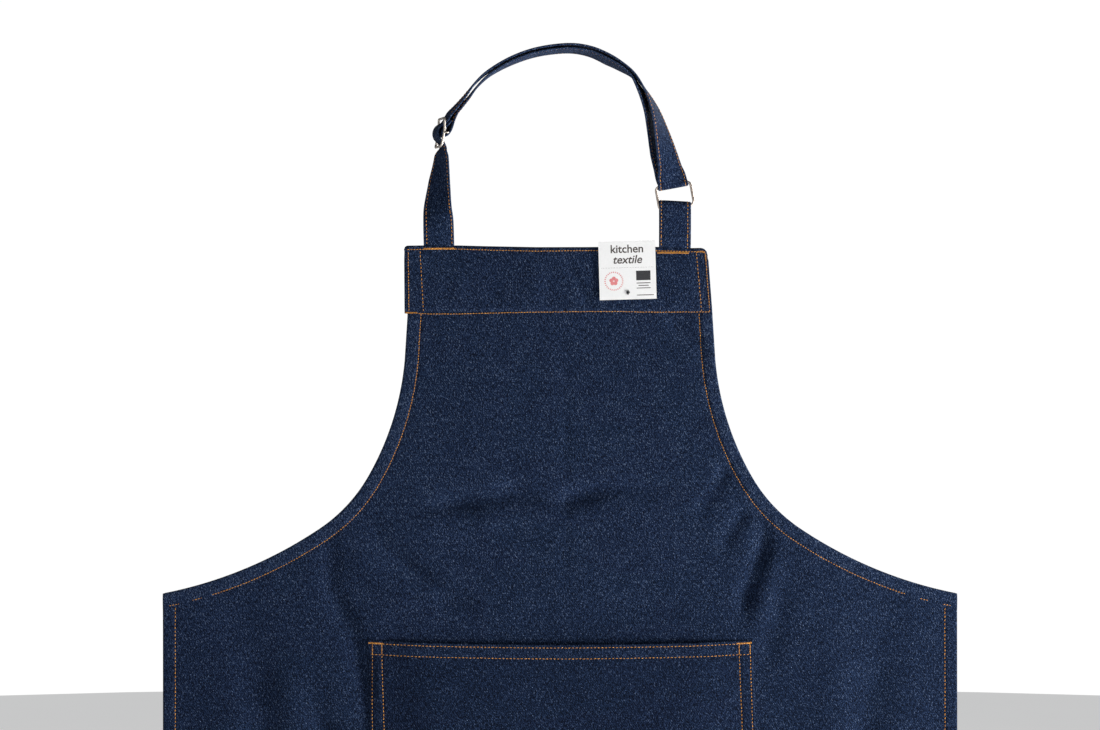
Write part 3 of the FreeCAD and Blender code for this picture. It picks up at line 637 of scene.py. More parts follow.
def make_panel():
    band = np.concatenate([[0, -0.6, -1.3, -2.2, -3.0, -3.9], np.linspace(-5.0, -54.5, 26),
                           [-55.8, -56.5, -57.1, -57.7, -58.4]])
    arm = armhole_line(step=2.2)[:, 1]
    arm[0] = -FACING_DEEP - 0.2
    skirt = np.linspace(WAIST_H, -HEM_DEEP + BOTTOM_HEM + 3, 96)[1:]
    hem = -HEM_DEEP + np.array([26, 25, 24.2, 23.5, 22.8, 22, 20, 16, 12, 8, 4, 1.6, 0.8, 0])
    x, h = sewn_grid(np.concatenate([band, arm, skirt, hem]), 170)
    gap = line_distance(np.abs(x), h, ARM_LINE)[0]
    # lighter over the armhole's hem strip, and worn lighter along the armhole edge, the bib's top edge and
    # near the facing's seam
    wear_and_shade = 0.45 * smooth((ARM_HEM - gap) / 3.0) * smooth((-h - FACING_DEEP) / 3)
    wear_and_shade += 0.35 * ridge(gap, 1.2) + 0.5 * ridge(h + 0.6, 1.0)
    wear_and_shade += 0.25 * ridge(h + FACING_DEEP - 3, 3.0)
    # painted shade: the whole panel is made darker towards the bottom
    wear_and_shade -= 0.45 * smooth((-h - 200) / 420.0)
    cloth_sheet("apron_panel", (x, h), front_of(x, h), 1.0, DENIM, "panel",
                (2 * SKIRT_HALF * MM, HEM_DEEP * MM), wear_and_shade, DENIM_INSIDE,
                rests_on=["neck_strap_cloth"], area=0.4505)


STRAP_SEATS = ((-106.5, 2.6), (101.2, 4.6))      # (middle of a strap's sewn end, its thickness there)


def seat_room(x, h):
    """Extra room for the strap ends between the bib and its facing."""
    room = 0
    for middle, thick in STRAP_SEATS:
        room = room + thick * smooth((19.0 - np.abs(x - middle)) / 6.0) * smooth((h + 26.0) / 10.0)
    return room


def make_facing():
    heights = np.concatenate([[-0.6, -1.6, -3.0], np.linspace(-5, -54, 24), [-56, -57.2, -58.0]])
    x, h = sewn_grid(heights, 76, 0.6)
    y = back_of(x, h) + 1.12 * CLOTH + seat_room(x, h)
    y += 0.25 * np.sin(x / 6.0) * ridge(h + FACING_DEEP, 6.0)
    cloth_sheet("bib_facing_cloth", (x, h), y, 0.9, DENIM_BACK, "bib_facing", (0.2706, 0.0585))


def hem_sheet(name, grid, node_name, flat):
    """A folded edge lying against the back of the panel."""
    cloth_sheet(name, grid, back_of(*grid) + 1.05 * CLOTH, 1.0, DENIM_BACK, node_name, flat)


def make_hems():
    share = np.array([0.04, 0.2, 0.45, 0.7, 0.86, 0.97])[None, :, None]
    for name, side in SIDES_OF.items():
        line = armhole_line(side=side)
        inner = armhole_line(inset=ARM_HEM + 1.0, side=side)
        line[0, 1] = inner[0, 1] = -FACING_DEEP - 0.4
        grid = line[:, None, :] * (1 - share) + inner[:, None, :] * share
        hem_sheet("armhole_hem_cloth_" + name, (grid[:, :, 0], grid[:, :, 1]), "armhole_hem_" + name,
                  (0.0125, 0.345))
        rows = np.linspace(WAIST_H - 10, -HEM_DEEP + BOTTOM_HEM + 0.5, 90)
        columns = SKIRT_HALF - np.array([0.6, 3.0, 6.0, 9.0, SIDE_HEM])
        hem_sheet("side_hem_cloth_" + name, np.meshgrid(columns * side, rows), "side_hem_" + name,
                  (0.0114, 0.460))
    rows = -HEM_DEEP + np.array([BOTTOM_HEM, 18, 12, 6, 0.6])
    columns = np.linspace(-SKIRT_HALF + 0.6, SKIRT_HALF - 0.6, 150)
    hem_sheet("bottom_hem_cloth", np.meshgrid(columns, rows), "bottom_hem", (0.697, 0.0244))


# ------------------------------------------------------------------ pocket

def pocket_top(x):
    return POCKET_TOP - POCKET_SAG * (1 - (x / POCKET_HALF) ** 2)


def pocket_shift(h):
    """The pocket's cloth leans a little to the right below its mouth."""
    return 2.2 * smooth((POCKET_TOP - h) / 95.0)


def pocket_gap(x, h):
    """Distance in from the pocket's nearer side edge."""
    return POCKET_HALF - np.abs(x - pocket_shift(h))


def pocket_row(side, inset, change, h):
    """X of a side seam; change is how its inset alters below the mouth."""
    return pocket_shift(h) + side * (POCKET_HALF - inset - change * smooth((POCKET_TOP - h) / 75.0))


def pocket_stand(x, h):
    """How far the pocket's cloth stands off the panel: sewn down at three sides, open at the top."""
    beside = np.clip(pocket_gap(x, h) / POCKET_HALF, 0, 1)
    above = np.clip((h - POCKET_LOW) / (POCKET_TOP - POCKET_LOW), 0, 1)
    fullness = smooth(beside / 0.35) * np.sqrt(smooth(above / 0.9))
    return 1.05 * CLOTH + POCKET_ROOM * fullness


def pocket_relief(x, h):
    down = pocket_top(x) - h
    beside = pocket_gap(x, h)
    low = h - POCKET_LOW
    pucker = np.sin(x / 2.0 + 1.4 * np.sin(x / 8.0))
    total = 0.5 * smooth((POCKET_ROWS[1] - down) / 2.5) + 0.35 * smooth((12.5 - beside) / 2.5)
    total -= 0.7 * (rounded(down, 1.5) + rounded(beside, 1.4) + rounded(low, 1.4))
    total -= 0.36 * ridge(low - 3.0, 1.1)
    for row in POCKET_ROWS:
        total -= (0.36 + 0.10 * pucker) * ridge(down - row, 1.1)
    for name, inset, change in POCKET_SIDE_ROWS:
        total -= 0.36 * ridge(x - pocket_row(SIDES_OF[name], inset, change, h), 1.1)
    return total + 0.5 * np.sin(x / 23.0 + h / 31.0) * smooth(beside / 40.0)


def pocket_place(x, h):
    """Y of the pocket cloth's middle surface."""
    return -drape(x, h) - pocket_stand(x, h) - pocket_relief(x, h)


def make_pocket():
    deep = POCKET_TOP - POCKET_LOW
    near = np.array([0, 0.7, 1.5, 2.4, 3.2, 4.5, 6.5, 8.5, 10.2, 11.2, 12.0, 12.8, 14, 16])
    low = deep - np.array([5.5, 4.2, 3.0, 1.9, 0.8, 0])
    depths = np.concatenate([near, np.linspace(19, deep - 8, 42), low])
    share = depths[:, None] / deep
    line = span(-POCKET_HALF, POCKET_HALF, 110)[None, :]
    h = pocket_top(line) * (1 - share) + POCKET_LOW * share
    x = line + pocket_shift(h)
    down = pocket_top(x) - h
    # worn lighter along the pocket's mouth, hem and side edges; the - 0.55 below is painted shade that
    # darkens the whole pocket
    wear_and_shade = 0.35 * smooth((POCKET_ROWS[1] - down) / 3) + 0.5 * ridge(down, 1.0)
    wear_and_shade += 0.3 * ridge(pocket_gap(x, h), 1.2) - 0.55
    cloth_sheet("pocket_cloth", (x, h), pocket_place(x, h), 1.0, DENIM, "pocket", (0.339, 0.195), wear_and_shade)

    line = np.linspace(-POCKET_HALF + 2, POCKET_HALF - 2, 110)
    x, rows = np.meshgrid(line, -np.array([0.5, 3.0, 6.0, 9.0, 12.6]))
    h = pocket_top(x) + rows
    behind = -drape(x, h) - pocket_stand(x, h) + 0.95 * CLOTH
    cloth_sheet("pocket_hem_cloth", (x, h), np.minimum(behind, -drape(x, h) - 1.0), 0.8, DENIM_BACK,
                "pocket_hem", (0.335, 0.0121), held="folded", rests_on=["pocket_cloth"])


# ------------------------------------------------------------------ sewing

STITCH_LENGTH = 2.25
STITCH_RADIUS = 0.33
# one stitch, end to end: (along it, thickness, rise), as shares of its size
STITCH_RINGS = ((-1.0, 0.40, -0.34), (-0.62, 0.92, 0.10), (0.0, 1.0, 0.24), (0.62, 0.92, 0.10),
                (1.0, 0.40, -0.34))
STITCH_SIDES = 6
SATIN_RADIUS = 0.27


def resample(points, normals, pitch):
    """Places at an even pitch along a line, with their normals and directions."""
    points = np.asarray(points, float)
    run = run_along(points)
    count = max(1, int(round(run[-1] / pitch)))
    at = (np.arange(count) + 0.5) * run[-1] / count

    def values_at(places, values):
        return np.stack([np.interp(places, run, column) for column in np.asarray(values, float).T], axis=1)

    ahead = values_at(np.minimum(at + 0.4, run[-1]), points)
    behind = values_at(np.maximum(at - 0.4, 0), points)
    return values_at(at, points), values_at(at, normals), unit(ahead - behind)


class Sewing:
    """Collects stitches of one seam group into a single mesh."""

    def __init__(self):
        self.points = []
        self.faces = []

    def stitch(self, centre, along, out, length, radius, lift=1.0):
        beside = np.cross(along, out)
        base = len(self.points)
        for share, thick, rise in STITCH_RINGS:
            middle = centre + along * (share * length / 2) + out * (rise * radius * 2 * lift)
            for side in range(STITCH_SIDES):
                angle = 2 * math.pi * side / STITCH_SIDES
                ring = beside * math.cos(angle) + out * math.sin(angle)
                self.points.append(middle + ring * (radius * thick))
        self.faces += wall_faces(len(STITCH_RINGS), STITCH_SIDES, base)

    def row(self, points, normals, pitch=3.2, length=STITCH_LENGTH):
        """Running stitches, each a little askew."""
        for place, out, direction in zip(*resample(points, normals, pitch)):
            out = unit(out - direction * np.dot(out, direction))
            beside = np.cross(direction, out)
            turned = unit(direction + beside * random.uniform(-0.07, 0.07))
            shifted = place + beside * random.uniform(-0.12, 0.12)
            self.stitch(shifted, turned, out, length * random.uniform(0.9, 1.08), STITCH_RADIUS)

    def satin(self, points, normals, width, pitch):
        """Dense zigzag across a line, as in a bartack."""
        for index, (place, out, direction) in enumerate(zip(*resample(points, normals, pitch))):
            out = unit(out - direction * np.dot(out, direction))
            beside = np.cross(direction, out)
            across = unit(beside + direction * (0.28 if index % 2 else -0.28))
            shifted = place + beside * random.uniform(-0.1, 0.1)
            self.stitch(shifted, across, out, width * random.uniform(0.92, 1.06), SATIN_RADIUS, 0.8)

    def finish(self, name, **settled):
        settle(make_mesh(name, self.points, self.faces, THREAD), "thread", **settled)


def on_cloth(line, surface, lift):
    """Places and outward normals of a line of (x, h) drawn on a cloth; lift is negative in front."""
    x, h = np.asarray(line, float).T
    slope_x = surface(x + 0.5, h) - surface(x - 0.5, h)
    slope_h = surface(x, h + 0.5) - surface(x, h - 0.5)
    normal = unit(np.stack([slope_x, -np.ones_like(x), slope_h], axis=1))
    if lift >= 0:
        normal = -normal
    places = np.stack([x, surface(x, h), sewn_height(x, h) + BIB_TOP], axis=1) + normal * abs(lift)
    return places, normal


def straight(start, end, step=4.0):
    count = max(2, int(math.dist(start, end) / step))
    share = np.linspace(0, 1, count)[:, None]
    return np.asarray(start) * (1 - share) + np.asarray(end) * share


def sew(name, rows, nodes=()):
    """One seam group on the apron: each row is (line, surface, lift, pitch)."""
    group = Sewing()
    for line, surface, lift, pitch in rows:
        group.row(*on_cloth(line, surface, lift), pitch=pitch)
    group.finish(name, body="apron", nodes=nodes)


FACING_WAVE = ((-133, -0.6), (-118, -1.7), (-90, -1.9), (-60, -1.1), (-35, -0.6), (12, 0.5), (55, 0.7),
               (75, -0.2), (125, 0.1))      # how the facing's stitching wanders on the front
BAND_ENDS = {      # (outer row, inner row) at the two ends of the band
    "left": (((-133.6, -5), (-133.0, -56)), ((-123.2, -4), (-120.2, -57))),
    "right": (((128.2, -10), (131.8, -57)), ((119.8, -4), (124.6, -57))),
}


def raised(line, change):
    """The line with its heights altered."""
    return line + np.stack([np.zeros(len(line)), change], axis=1)


FRONT = -CLOTH / 2
BEHIND = 1.5 * CLOTH + 0.06


def sew_through(name, line, front_pitch, nodes=()):
    """A seam that shows on the front and on the folded edge behind."""
    sew(name, [(line, front_of, FRONT, front_pitch), (line, back_of, BEHIND, 3.3)], nodes)


def facing_back(x, h):
    return back_of(x, h) + 1.12 * CLOTH + 0.45 + seat_room(x, h)


def make_apron_stitching():
    top = straight((-BIB_LEFT + 2, -3.0), (BIB_RIGHT - 2, -3.0))
    top = raised(top, 0.25 * np.sin(top[:, 0] / 19.0))
    sew("bib_top_stitching", [(top, front_of, FRONT, 2.6)], ["stitch_bib_top"])
    row = -FACING_DEEP + 1.4
    facing = straight((-BIB_LEFT + 2, row), (BODY_HALF - 2, row))
    shown = raised(facing, np.interp(facing[:, 0], *np.array(FACING_WAVE).T))
    sew("facing_stitching", [(shown, front_of, FRONT, 2.5), (facing, facing_back, 0.05, 3.2)],
        ["stitch_facing"])
    for name, side in SIDES_OF.items():
        line = armhole_line(inset=ARM_HEM, side=side)
        sew_through("armhole_stitching_" + name, line[line[:, 1] < -FACING_DEEP + 1], 2.6,
                    ["stitch_armhole_" + name])
        border, inner = BAND_ENDS[name]
        sew("band_end_stitching_" + name,
            [(straight(*border), front_of, FRONT, 2.6), (straight(*inner), front_of, FRONT, 3.3)])
        x = side * (SKIRT_HALF - SIDE_HEM + 1.5)
        sew_through("side_stitching_" + name, straight((x, WAIST_H - 12), (x, -HEM_DEEP + 4)), 3.3)
    row = -HEM_DEEP + BOTTOM_HEM - 1.5
    sew_through("hem_stitching", straight((-SKIRT_HALF + 2, row), (SKIRT_HALF - 2, row)), 3.3)

    def sew_pocket(name, line, nodes=()):
        sew(name, [(line, pocket_place, FRONT, 3.2)], nodes)

    across = np.linspace(-POCKET_HALF + 3, POCKET_HALF - 3, 90)
    for number, row in enumerate(POCKET_ROWS, start=1):
        sew_pocket("pocket_hem_stitching_%d" % number, np.stack([across, pocket_top(across) - row], axis=1),
                   ["stitch_pocket_hem_%d" % number])
    heights = np.linspace(POCKET_TOP - 3.5, POCKET_LOW + 3.0, 60)
    for index, (name, inset, change) in enumerate(POCKET_SIDE_ROWS):
        line = np.stack([pocket_row(SIDES_OF[name], inset, change, heights), heights], axis=1)
        place = "%s_%d" % (name, index % 2 + 1)
        sew_pocket("pocket_side_stitching_" + place, line, ["stitch_pocket_" + place])
    row = POCKET_LOW + 3.0
    sew_pocket("pocket_low_stitching", straight((-POCKET_HALF + 5, row), (POCKET_HALF - 5, row)))


def tack(name, start, end, width, nodes=(), step=1.5, surface=front_of, pitch=0.5):
    """A bar of dense stitches between two places on the cloth."""
    group = Sewing()
    group.satin(*on_cloth(straight(start, end, step), surface, FRONT), width, pitch)
    group.finish(name, body="apron", nodes=nodes)


POCKET_CORNER_TACKS = {"left": (4.6, 12.9), "right": (2.6, 12.1)}      # in from the pocket's side edge


def make_tacks():
    left, right = STRAP_SEATS[0][0], STRAP_SEATS[1][0]
    tack("neck_tack_left", (left - 13.5, -2.6), (left + 13.5, -2.2), 1.9, ["tack_neck_left"], step=2)
    tack("neck_tack_right", (right - 15.5, -4.9), (right + 12.0, -4.5), 1.9, ["tack_neck_right"], step=2)
    row = -FACING_DEEP + 0.6
    tack("band_tack_left", (-BIB_LEFT + 0.8, row), (-BIB_LEFT + 10.5, row), 1.7)
    tack("band_tack_right", (120.0, -3.6), (127.6, -2.2), 1.6)
    tack("band_corner_tack_right", (127.9, -3.0), (128.2, -11.0), 1.5, pitch=0.7)
    for name, side in SIDES_OF.items():
        tack("pocket_tack_" + name, (side * (POCKET_HALF - 1.2), POCKET_TOP - 2.0),
             (side * (POCKET_HALF - 14.0), POCKET_TOP - 2.6), 1.8, ["tack_pocket_" + name],
             surface=pocket_place)
        for number, inset in enumerate(POCKET_CORNER_TACKS[name], start=1):
            x = side * (POCKET_HALF - inset)
            tack("pocket_corner_tack_%s_%d" % (name, number), (x, POCKET_TOP - 3.0),
                 (x, POCKET_TOP - 11.5), 1.2, surface=pocket_place, pitch=0.8)


# ------------------------------------------------------------------ straps

STRAP_SECTION = [(1.0, 0.0), (0.985, 0.52), (0.935, 0.88), (0.87, 0.96), (0.82, 0.70), (0.775, 0.95),
                 (0.6, 1.0), (0.3, 1.03), (0.0, 1.04)]


def strap_section(width):
    """Closed outline of a folded strap, grooved under its two rows of stitching."""
    right = [(x * width / 2, y * STRAP_THICK / 2) for x, y in STRAP_SECTION]
    top = right + [(-x, y) for x, y in right[-2::-1]]
    return np.array(top + [(x, -y) for x, y in top[-2:0:-1]])


def curve_through(stations, step=1.5):
    """Smooth line through stations, with the strap's turn carried along it."""
    stations = np.asarray(stations, float)
    padded = np.concatenate([[2 * stations[0] - stations[1]], stations, [2 * stations[-1] - stations[-2]]])
    result = []
    for index in range(1, len(padded) - 2):
        p0, p1, p2, p3 = padded[index - 1:index + 3]
        length = np.linalg.norm((p2 - p1)[:3])
        pieces = max(2, int(length / step))
        for t in np.linspace(0, 1, pieces, endpoint=False):
            result.append(0.5 * (2 * p1 + (p2 - p0) * t + (2 * p0 - 5 * p1 + 4 * p2 - p3) * t ** 2
                                 + (3 * p1 - p0 - 3 * p2 + p3) * t ** 3))
    result.append(stations[-1])
    return np.array(result)


def directions(points):
    return unit(np.gradient(points, axis=0))


def turned_across(points, turns):
    """Width direction of a strap: on edge to the viewer at 0 degrees, flat to the viewer at 90."""
    along = directions(points)
    inward = unit(np.cross(along, TO_VIEWER))
    angle = np.radians(turns)[:, None]
    across = TO_VIEWER * np.cos(angle) + inward * np.sin(angle)
    return unit(across - along * np.sum(across * along, axis=1, keepdims=True))


def strap_piece(name, points, across, start_run=0.0, width=STRAP_WIDTH, tuck=(0, 0), **settled):
    """Sweep the strap's section along a line; tuck is how many sections at each end are a little smaller."""
    points = np.asarray(points, float)
    along = directions(points)
    across = unit(across - along * np.sum(across * along, axis=1, keepdims=True))
    through = np.cross(along, across)
    outline = strap_section(width)
    order = np.arange(len(points))
    inside = (order < tuck[0]) | (order[::-1] < tuck[1])
    sections = outline * np.where(inside[:, None], (0.97, 0.9), 1.0)[:, None, :]
    rings = (points[:, None] + across[:, None] * sections[:, :, :1] + through[:, None] * sections[:, :, 1:]
             + LIFTED)
    cut = outline[:, 0] + 2 * width * (outline[:, 1] < 0)
    weave = np.stack(np.broadcast_arrays(cut, (start_run + run_along(points))[:, None]), axis=-1)
    reach = np.abs(outline[:, 0]) * 2 / width
    wear_and_shade = np.broadcast_to(np.where(reach > 0.95, 0.9, 0.4 * (reach > 0.86)), rings.shape[:2])
    faces = wall_faces(len(points), len(outline))
    obj = make_mesh(name, rings.reshape(-1, 3), faces, DENIM_STRAP, weave.reshape(-1, 2), wear_and_shade.ravel())
    return settle(obj, "strap_denim", **settled), (points, across, through)


def strap_sewing(name, strap, faces=(1, -1), trim=(0, 0), crossing=(), seams=SEAMS, seat=0.80, **settled):
    """Rows of edge stitching on the chosen faces of a strap, and crossing rows at (place, face)."""
    points, across, through = strap
    group = Sewing()
    chosen = slice(trim[0], len(points) - trim[1])
    for face in faces:
        for seam in seams:
            line = points + across * seam + through * (face * STRAP_THICK / 2 * seat) + LIFTED
            group.row(line[chosen], (through * face)[chosen])
    for index, face in crossing:
        share = np.linspace(-1, 1, 9)[:, None]
        out = through[index] * face
        row = points[index] + across[index] * (max(seams) * share) + out * STRAP_THICK / 2 + LIFTED
        group.row(row, np.repeat(out[None, :], 9, axis=0), pitch=3.0)
    group.finish(name, **settled)


def world(x, h, y=0.0):
    return (x * MM, y * MM, (h + BIB_TOP) * MM)


SLIDER_MIDDLE = np.array([-103.8, 0.0, 100.3])
SLIDER_LEAN = math.radians(7.0)
SLIDER_TURN = math.radians(12.0)
SLIDER_ALONG = np.array([math.sin(SLIDER_LEAN), 0.0, math.cos(SLIDER_LEAN)])
SLIDER_ACROSS = np.array([math.sin(SLIDER_TURN), -math.cos(SLIDER_TURN), 0.0])
SLIDER_ACROSS = unit(SLIDER_ACROSS - SLIDER_ALONG * np.dot(SLIDER_ACROSS, SLIDER_ALONG))
SLIDER_THROUGH = np.cross(SLIDER_ALONG, SLIDER_ACROSS)

RING_TILT = math.radians(10.5)
RING_MIDDLE = np.array([101.1, 0.0, 45.0])
RING_BARS = 20.3
RING_BAR = np.array([math.cos(RING_TILT), 0.0, math.sin(RING_TILT)])
RING_DOWN = np.array([math.sin(RING_TILT), 0.0, -math.cos(RING_TILT)])


def beside_slider(length, out):
    """A place beside the slider's middle; out is positive away from the wearer's neck."""
    return SLIDER_MIDDLE + SLIDER_ALONG * length - SLIDER_THROUGH * out


# The outer layer over the arch: (x, y, h, turn, gap to the inner layer, how much more that one is turned)
ARCH = [
    (-97.3, 0, 117.2, 12, 2.7, 0), (-93.6, 0, 121.0, 11, 2.8, 1), (-84.1, 0, 132.2, 7, 3.4, 0),
    (-74.9, 0, 144.0, 4, 3.4, 0), (-62.9, 0, 154.7, 2, 3.2, 0), (-42.6, 0, 165.9, -1, 3.4, 0),
    (-19.6, 0, 173.5, -2.5, 3.4, 0), (7, 0, 176.7, -3.4, 3.5, 0), (26.5, 0, 174.2, -4, 3.8, -1),
    (43.4, 0, 167.2, -4.5, 4.3, -2), (56.8, 0, 159.0, -2, 3.3, -1), (65.8, 0, 151.4, 0.5, 2.7, 4),
    (73.8, 0, 140.2, 4.5, 3.7, 8), (80.2, 0, 128.6, 12, 4.9, 5), (84.7, 0, 117.8, 19.5, 5.9, 2),
    (88.4, -0.3, 105.2, 27.5, 6.7, 1), (91.2, -0.7, 94.2, 35.8, 7.2, 0), (93.7, -1.2, 83.2, 43.7, 7.4, 0),
    (96.4, -1.8, 71.1, 52, 6.2, 0), (98.2, -2.3, 62.8, 62, 5.3, 0),
]
# the strap past the slider and the sewn end round its centre bar: (along the slider, out of it)
SLIDER_WAVE = [(-12.4, -2.2), (-8.8, -0.2), (-5.0, 4.2), (0, 5.7), (5.0, 4.2), (8.8, -0.2), (12.4, -2.4)]
SEWN_END = [
    (13.0, -7.3), (8.0, -6.9), (3.5, -5.9), (0.3, -4.6), (-1.9, -3.0), (-2.9, -1.2), (-2.7, 0.7), (-1.3, 2.1),
    (0.8, 2.4), (3.4, 0.9), (7.4, -2.6), (11.0, -4.9),
]
LEFT_RISE = [      # (x, h, turn) of the strap between the band and the slider
    (-106.8, 13, 88), (-107.1, 24, 82), (-107.6, 32.5, 71), (-107.3, 41.4, 60), (-106.7, 50, 51.7),
    (-106.1, 59, 44.4), (-105.2, 67.8, 36.9), (-104.5, 76.6, 30.5), (-104.2, 83.6, 25.7),
]
SEAMS_LEFT = (-10.6, 11.6)      # edge stitching either side of the strap's middle
SEAMS_RIGHT = (-11.0, 12.2)


def make_left_strap():
    """From inside the band up to the slider and through it."""
    start = [(-106.5, 2.0, -15, 90), (-106.5, 2.0, -4, 90), (-106.6, 0.9, 4, 88)]
    rise = curve_through(start + [(x, 0, h, turn) for x, h, turn in LEFT_RISE])
    wave = np.array([beside_slider(*place) for place in SLIDER_WAVE])
    path = curve_through(np.concatenate([rise[::5, :3], wave]), 1.4)
    turns = np.interp(path[:, 2], rise[:, 2], rise[:, 3])
    share = smooth((path[:, 2] - 80.0) / 9.0)[:, None]
    across = unit(turned_across(path, turns) * (1 - share) + SLIDER_ACROSS * share)
    fold = int(np.argmax(path[:, 2] > 30.0))
    bottom = ("apron", "neck_loop", world(-106.5, -1), world(-106.5, 24))
    base = strap_piece("neck_strap_base", path[:fold + 1], across[:fold + 1], blend=bottom)[1]
    strap_sewing("neck_strap_base_stitching", base, trim=(11, 0), seams=SEAMS_LEFT, blend=bottom)
    top = ("neck_loop", "slider", world(-107, 40), world(-104.5, 84))
    upper = strap_piece("neck_strap_rise", path[fold - 1:], across[fold - 1:], run_along(base[0])[-1],
                        tuck=(1, 0), blend=top)[1]
    strap_sewing("neck_strap_rise_stitching", upper, trim=(0, 16), seams=SEAMS_LEFT, blend=top)


def make_long_strap():
    """From the slider over the arch, round the ring's upper bar, back inside and round the slider's bar."""
    stations = [(*beside_slider(*SLIDER_WAVE[-1]), 12, 3.2, 0)] + ARCH
    outer = curve_through([station[:4] for station in stations], 2.0)
    station_x, _y, _h, _turn, gap, more = np.array(stations).T
    gaps = np.interp(outer[:, 0], station_x, gap)
    across_outer = turned_across(outer[:, :3], outer[:, 3])
    through = np.cross(directions(outer[:, :3]), across_outer)
    inner = outer[:, :3] + through * gaps[:, None]
    across_inner = turned_across(inner, outer[:, 3] + np.interp(outer[:, 0], station_x, more))

    bar = RING_MIDDLE - RING_DOWN * RING_BARS / 2
    reach = 2.55
    angles = np.radians(np.linspace(0, 180, 9))
    turn = [bar + RING_DOWN * (reach * math.sin(a)) + np.array([0, -reach * math.cos(a), 0]) for a in angles]
    turn = [turn[0] - RING_DOWN * 2.5] + turn + [turn[-1] - RING_DOWN * 2.5]
    body = inner[::-1]
    body = body[body[:, 0] > -93.0][1:]
    sewn = [beside_slider(*place) for place in SEWN_END]
    path = np.concatenate([outer[:-1, :3], turn, body, sewn])
    widths = np.concatenate([across_outer[:-1], [-RING_BAR] * len(turn), across_inner[::-1][1:len(body) + 1],
                             [SLIDER_ACROSS] * len(sewn)])
    middle = 0.25 * path[:-2] + 0.5 * path[1:-1] + 0.25 * path[2:]
    calm = np.linalg.norm(path[1:-1] - bar, axis=1) > 6.0
    path[1:-1][calm] = middle[calm]
    for _ in range(3):
        widths[1:-1] = unit(0.25 * widths[:-2] + 0.5 * widths[1:-1] + 0.25 * widths[2:])
    dense = curve_through(np.concatenate([path, widths], axis=1), 1.5)
    travel = ("slider", "neck_loop", world(-97, 117), world(-72, 146))
    nodes = ("neck_strap_outer", "neck_strap_inner", "neck_strap_turn", "neck_strap_left", "strap_wave",
             "strap_end")
    strap = strap_piece("neck_strap_cloth", dense[:, :3], unit(dense[:, 3:]), 150.0, nodes=nodes,
                        blend=travel)[1]

    x, _y, h = strap[0].T
    count = len(x)
    outside = np.arange(count) < count // 2
    low = np.flatnonzero(~outside & (h < 122.0))
    right_arm = outside & (x > 60.0) & (h < 136.0)
    seat = np.where(right_arm | (x < -80.0), 0.80, 0.50)[:, None]      # the rest is bedded deep in the cloth
    strap_sewing("neck_strap_stitching", strap, trim=(5, 22), seat=seat, blend=travel,
                 crossing=((low[0], 1), (low[4], 1), (count - 3, 1), (count - 3, -1)))


RING_STRAP_SPLIT = 9.0      # height above the bib where the feet meet the loop
RING_STRAP_BEND = 3.3
RING_STRAP_TOP = 36.4
# the line of the folded strap up the front and down the back: (y, h)
RING_STRAP_FRONT = ((2.0, -15), (2.0, -4), (0.4, 3.5), (-1.6, 12), (-2.9, 24))
RING_STRAP_BACK = ((3.0, 24), (3.1, 12), (3.6, 3.5), (4.15, -4), (4.15, -15))


def make_ring_strap():
    """The short folded strap: two feet in the band and a loop round the ring's lower bar."""
    x = STRAP_SEATS[1][0]
    turns = [math.radians(turn) for turn in range(0, 181, 18)]
    bend = [(-RING_STRAP_BEND * math.cos(turn), RING_STRAP_TOP + RING_STRAP_BEND * math.sin(turn))
            for turn in turns]
    path = curve_through([(x, y, h) for y, h in (*RING_STRAP_FRONT, *bend, *RING_STRAP_BACK)], 1.3)
    share = smooth(path[:, 2:] / 30.0)
    widths = unit(np.array([-1.0, 0, 0]) * (1 - share) + np.array([-1.0, 0, 0.055]) * share)
    high = np.flatnonzero(path[:, 2] > RING_STRAP_SPLIT)
    first, last = int(high[0]), int(high[-1])
    fold = ("apron", "neck_loop", world(x, -2), world(x, RING_STRAP_SPLIT))
    give = ("neck_loop", "ring", world(x, RING_STRAP_SPLIT + 3), world(x, 33))
    runs = (("ring_strap_front_foot", slice(0, first + 1), fold, (9, 0), (0, 0), ()),
            ("ring_strap_cloth", slice(first - 1, last + 2), give, (0, 0), (1, 1), ["ring_strap"]),
            ("ring_strap_back_foot", slice(last, None), fold, (0, 9), (0, 0), ()))
    run = 0.0
    for name, part, blend, trim, tuck, nodes in runs:
        strap = strap_piece(name, path[part], widths[part], run, 28.0, tuck, nodes=nodes, blend=blend)[1]
        run += run_along(strap[0])[-1]
        strap_sewing(name + "_stitching", strap, (1,), trim, seams=SEAMS_RIGHT, blend=blend)


def make_neck_straps():
    make_left_strap()
    make_long_strap()
    make_ring_strap()


# ------------------------------------------------------------------ metal

def tube(name, path, radius, material, closed=False, sides=20):
    """Round wire along a line of places."""
    path = np.asarray(path, float)
    along = unit(np.roll(path, -1, axis=0) - np.roll(path, 1, axis=0)) if closed else directions(path)
    helper = unit(np.cross(along[0], [0.31, 0.87, 0.38]))
    beside = []
    for direction in along:
        helper = unit(helper - direction * np.dot(helper, direction))
        beside.append(helper)
    beside = np.array(beside)
    if closed:
        # the carried vector may have turned on its way round, and the turn is shared out
        final = unit(beside[-1] - along[0] * np.dot(beside[-1], along[0]))
        twist = math.atan2(np.dot(np.cross(final, beside[0]), along[0]), np.dot(final, beside[0]))
        angle = (twist * np.arange(len(along)) / len(along))[:, None]
        beside = beside * np.cos(angle) + np.cross(along, beside) * np.sin(angle)
    angles = np.linspace(0, 2 * math.pi, sides, endpoint=False)[:, None]
    rings = (path[:, None] + beside[:, None] * (radius * np.cos(angles))
             + np.cross(along, beside)[:, None] * (radius * np.sin(angles)) + LIFTED)
    return make_mesh(name, rings.reshape(-1, 3), wall_faces(len(path), sides, closed=closed), material)


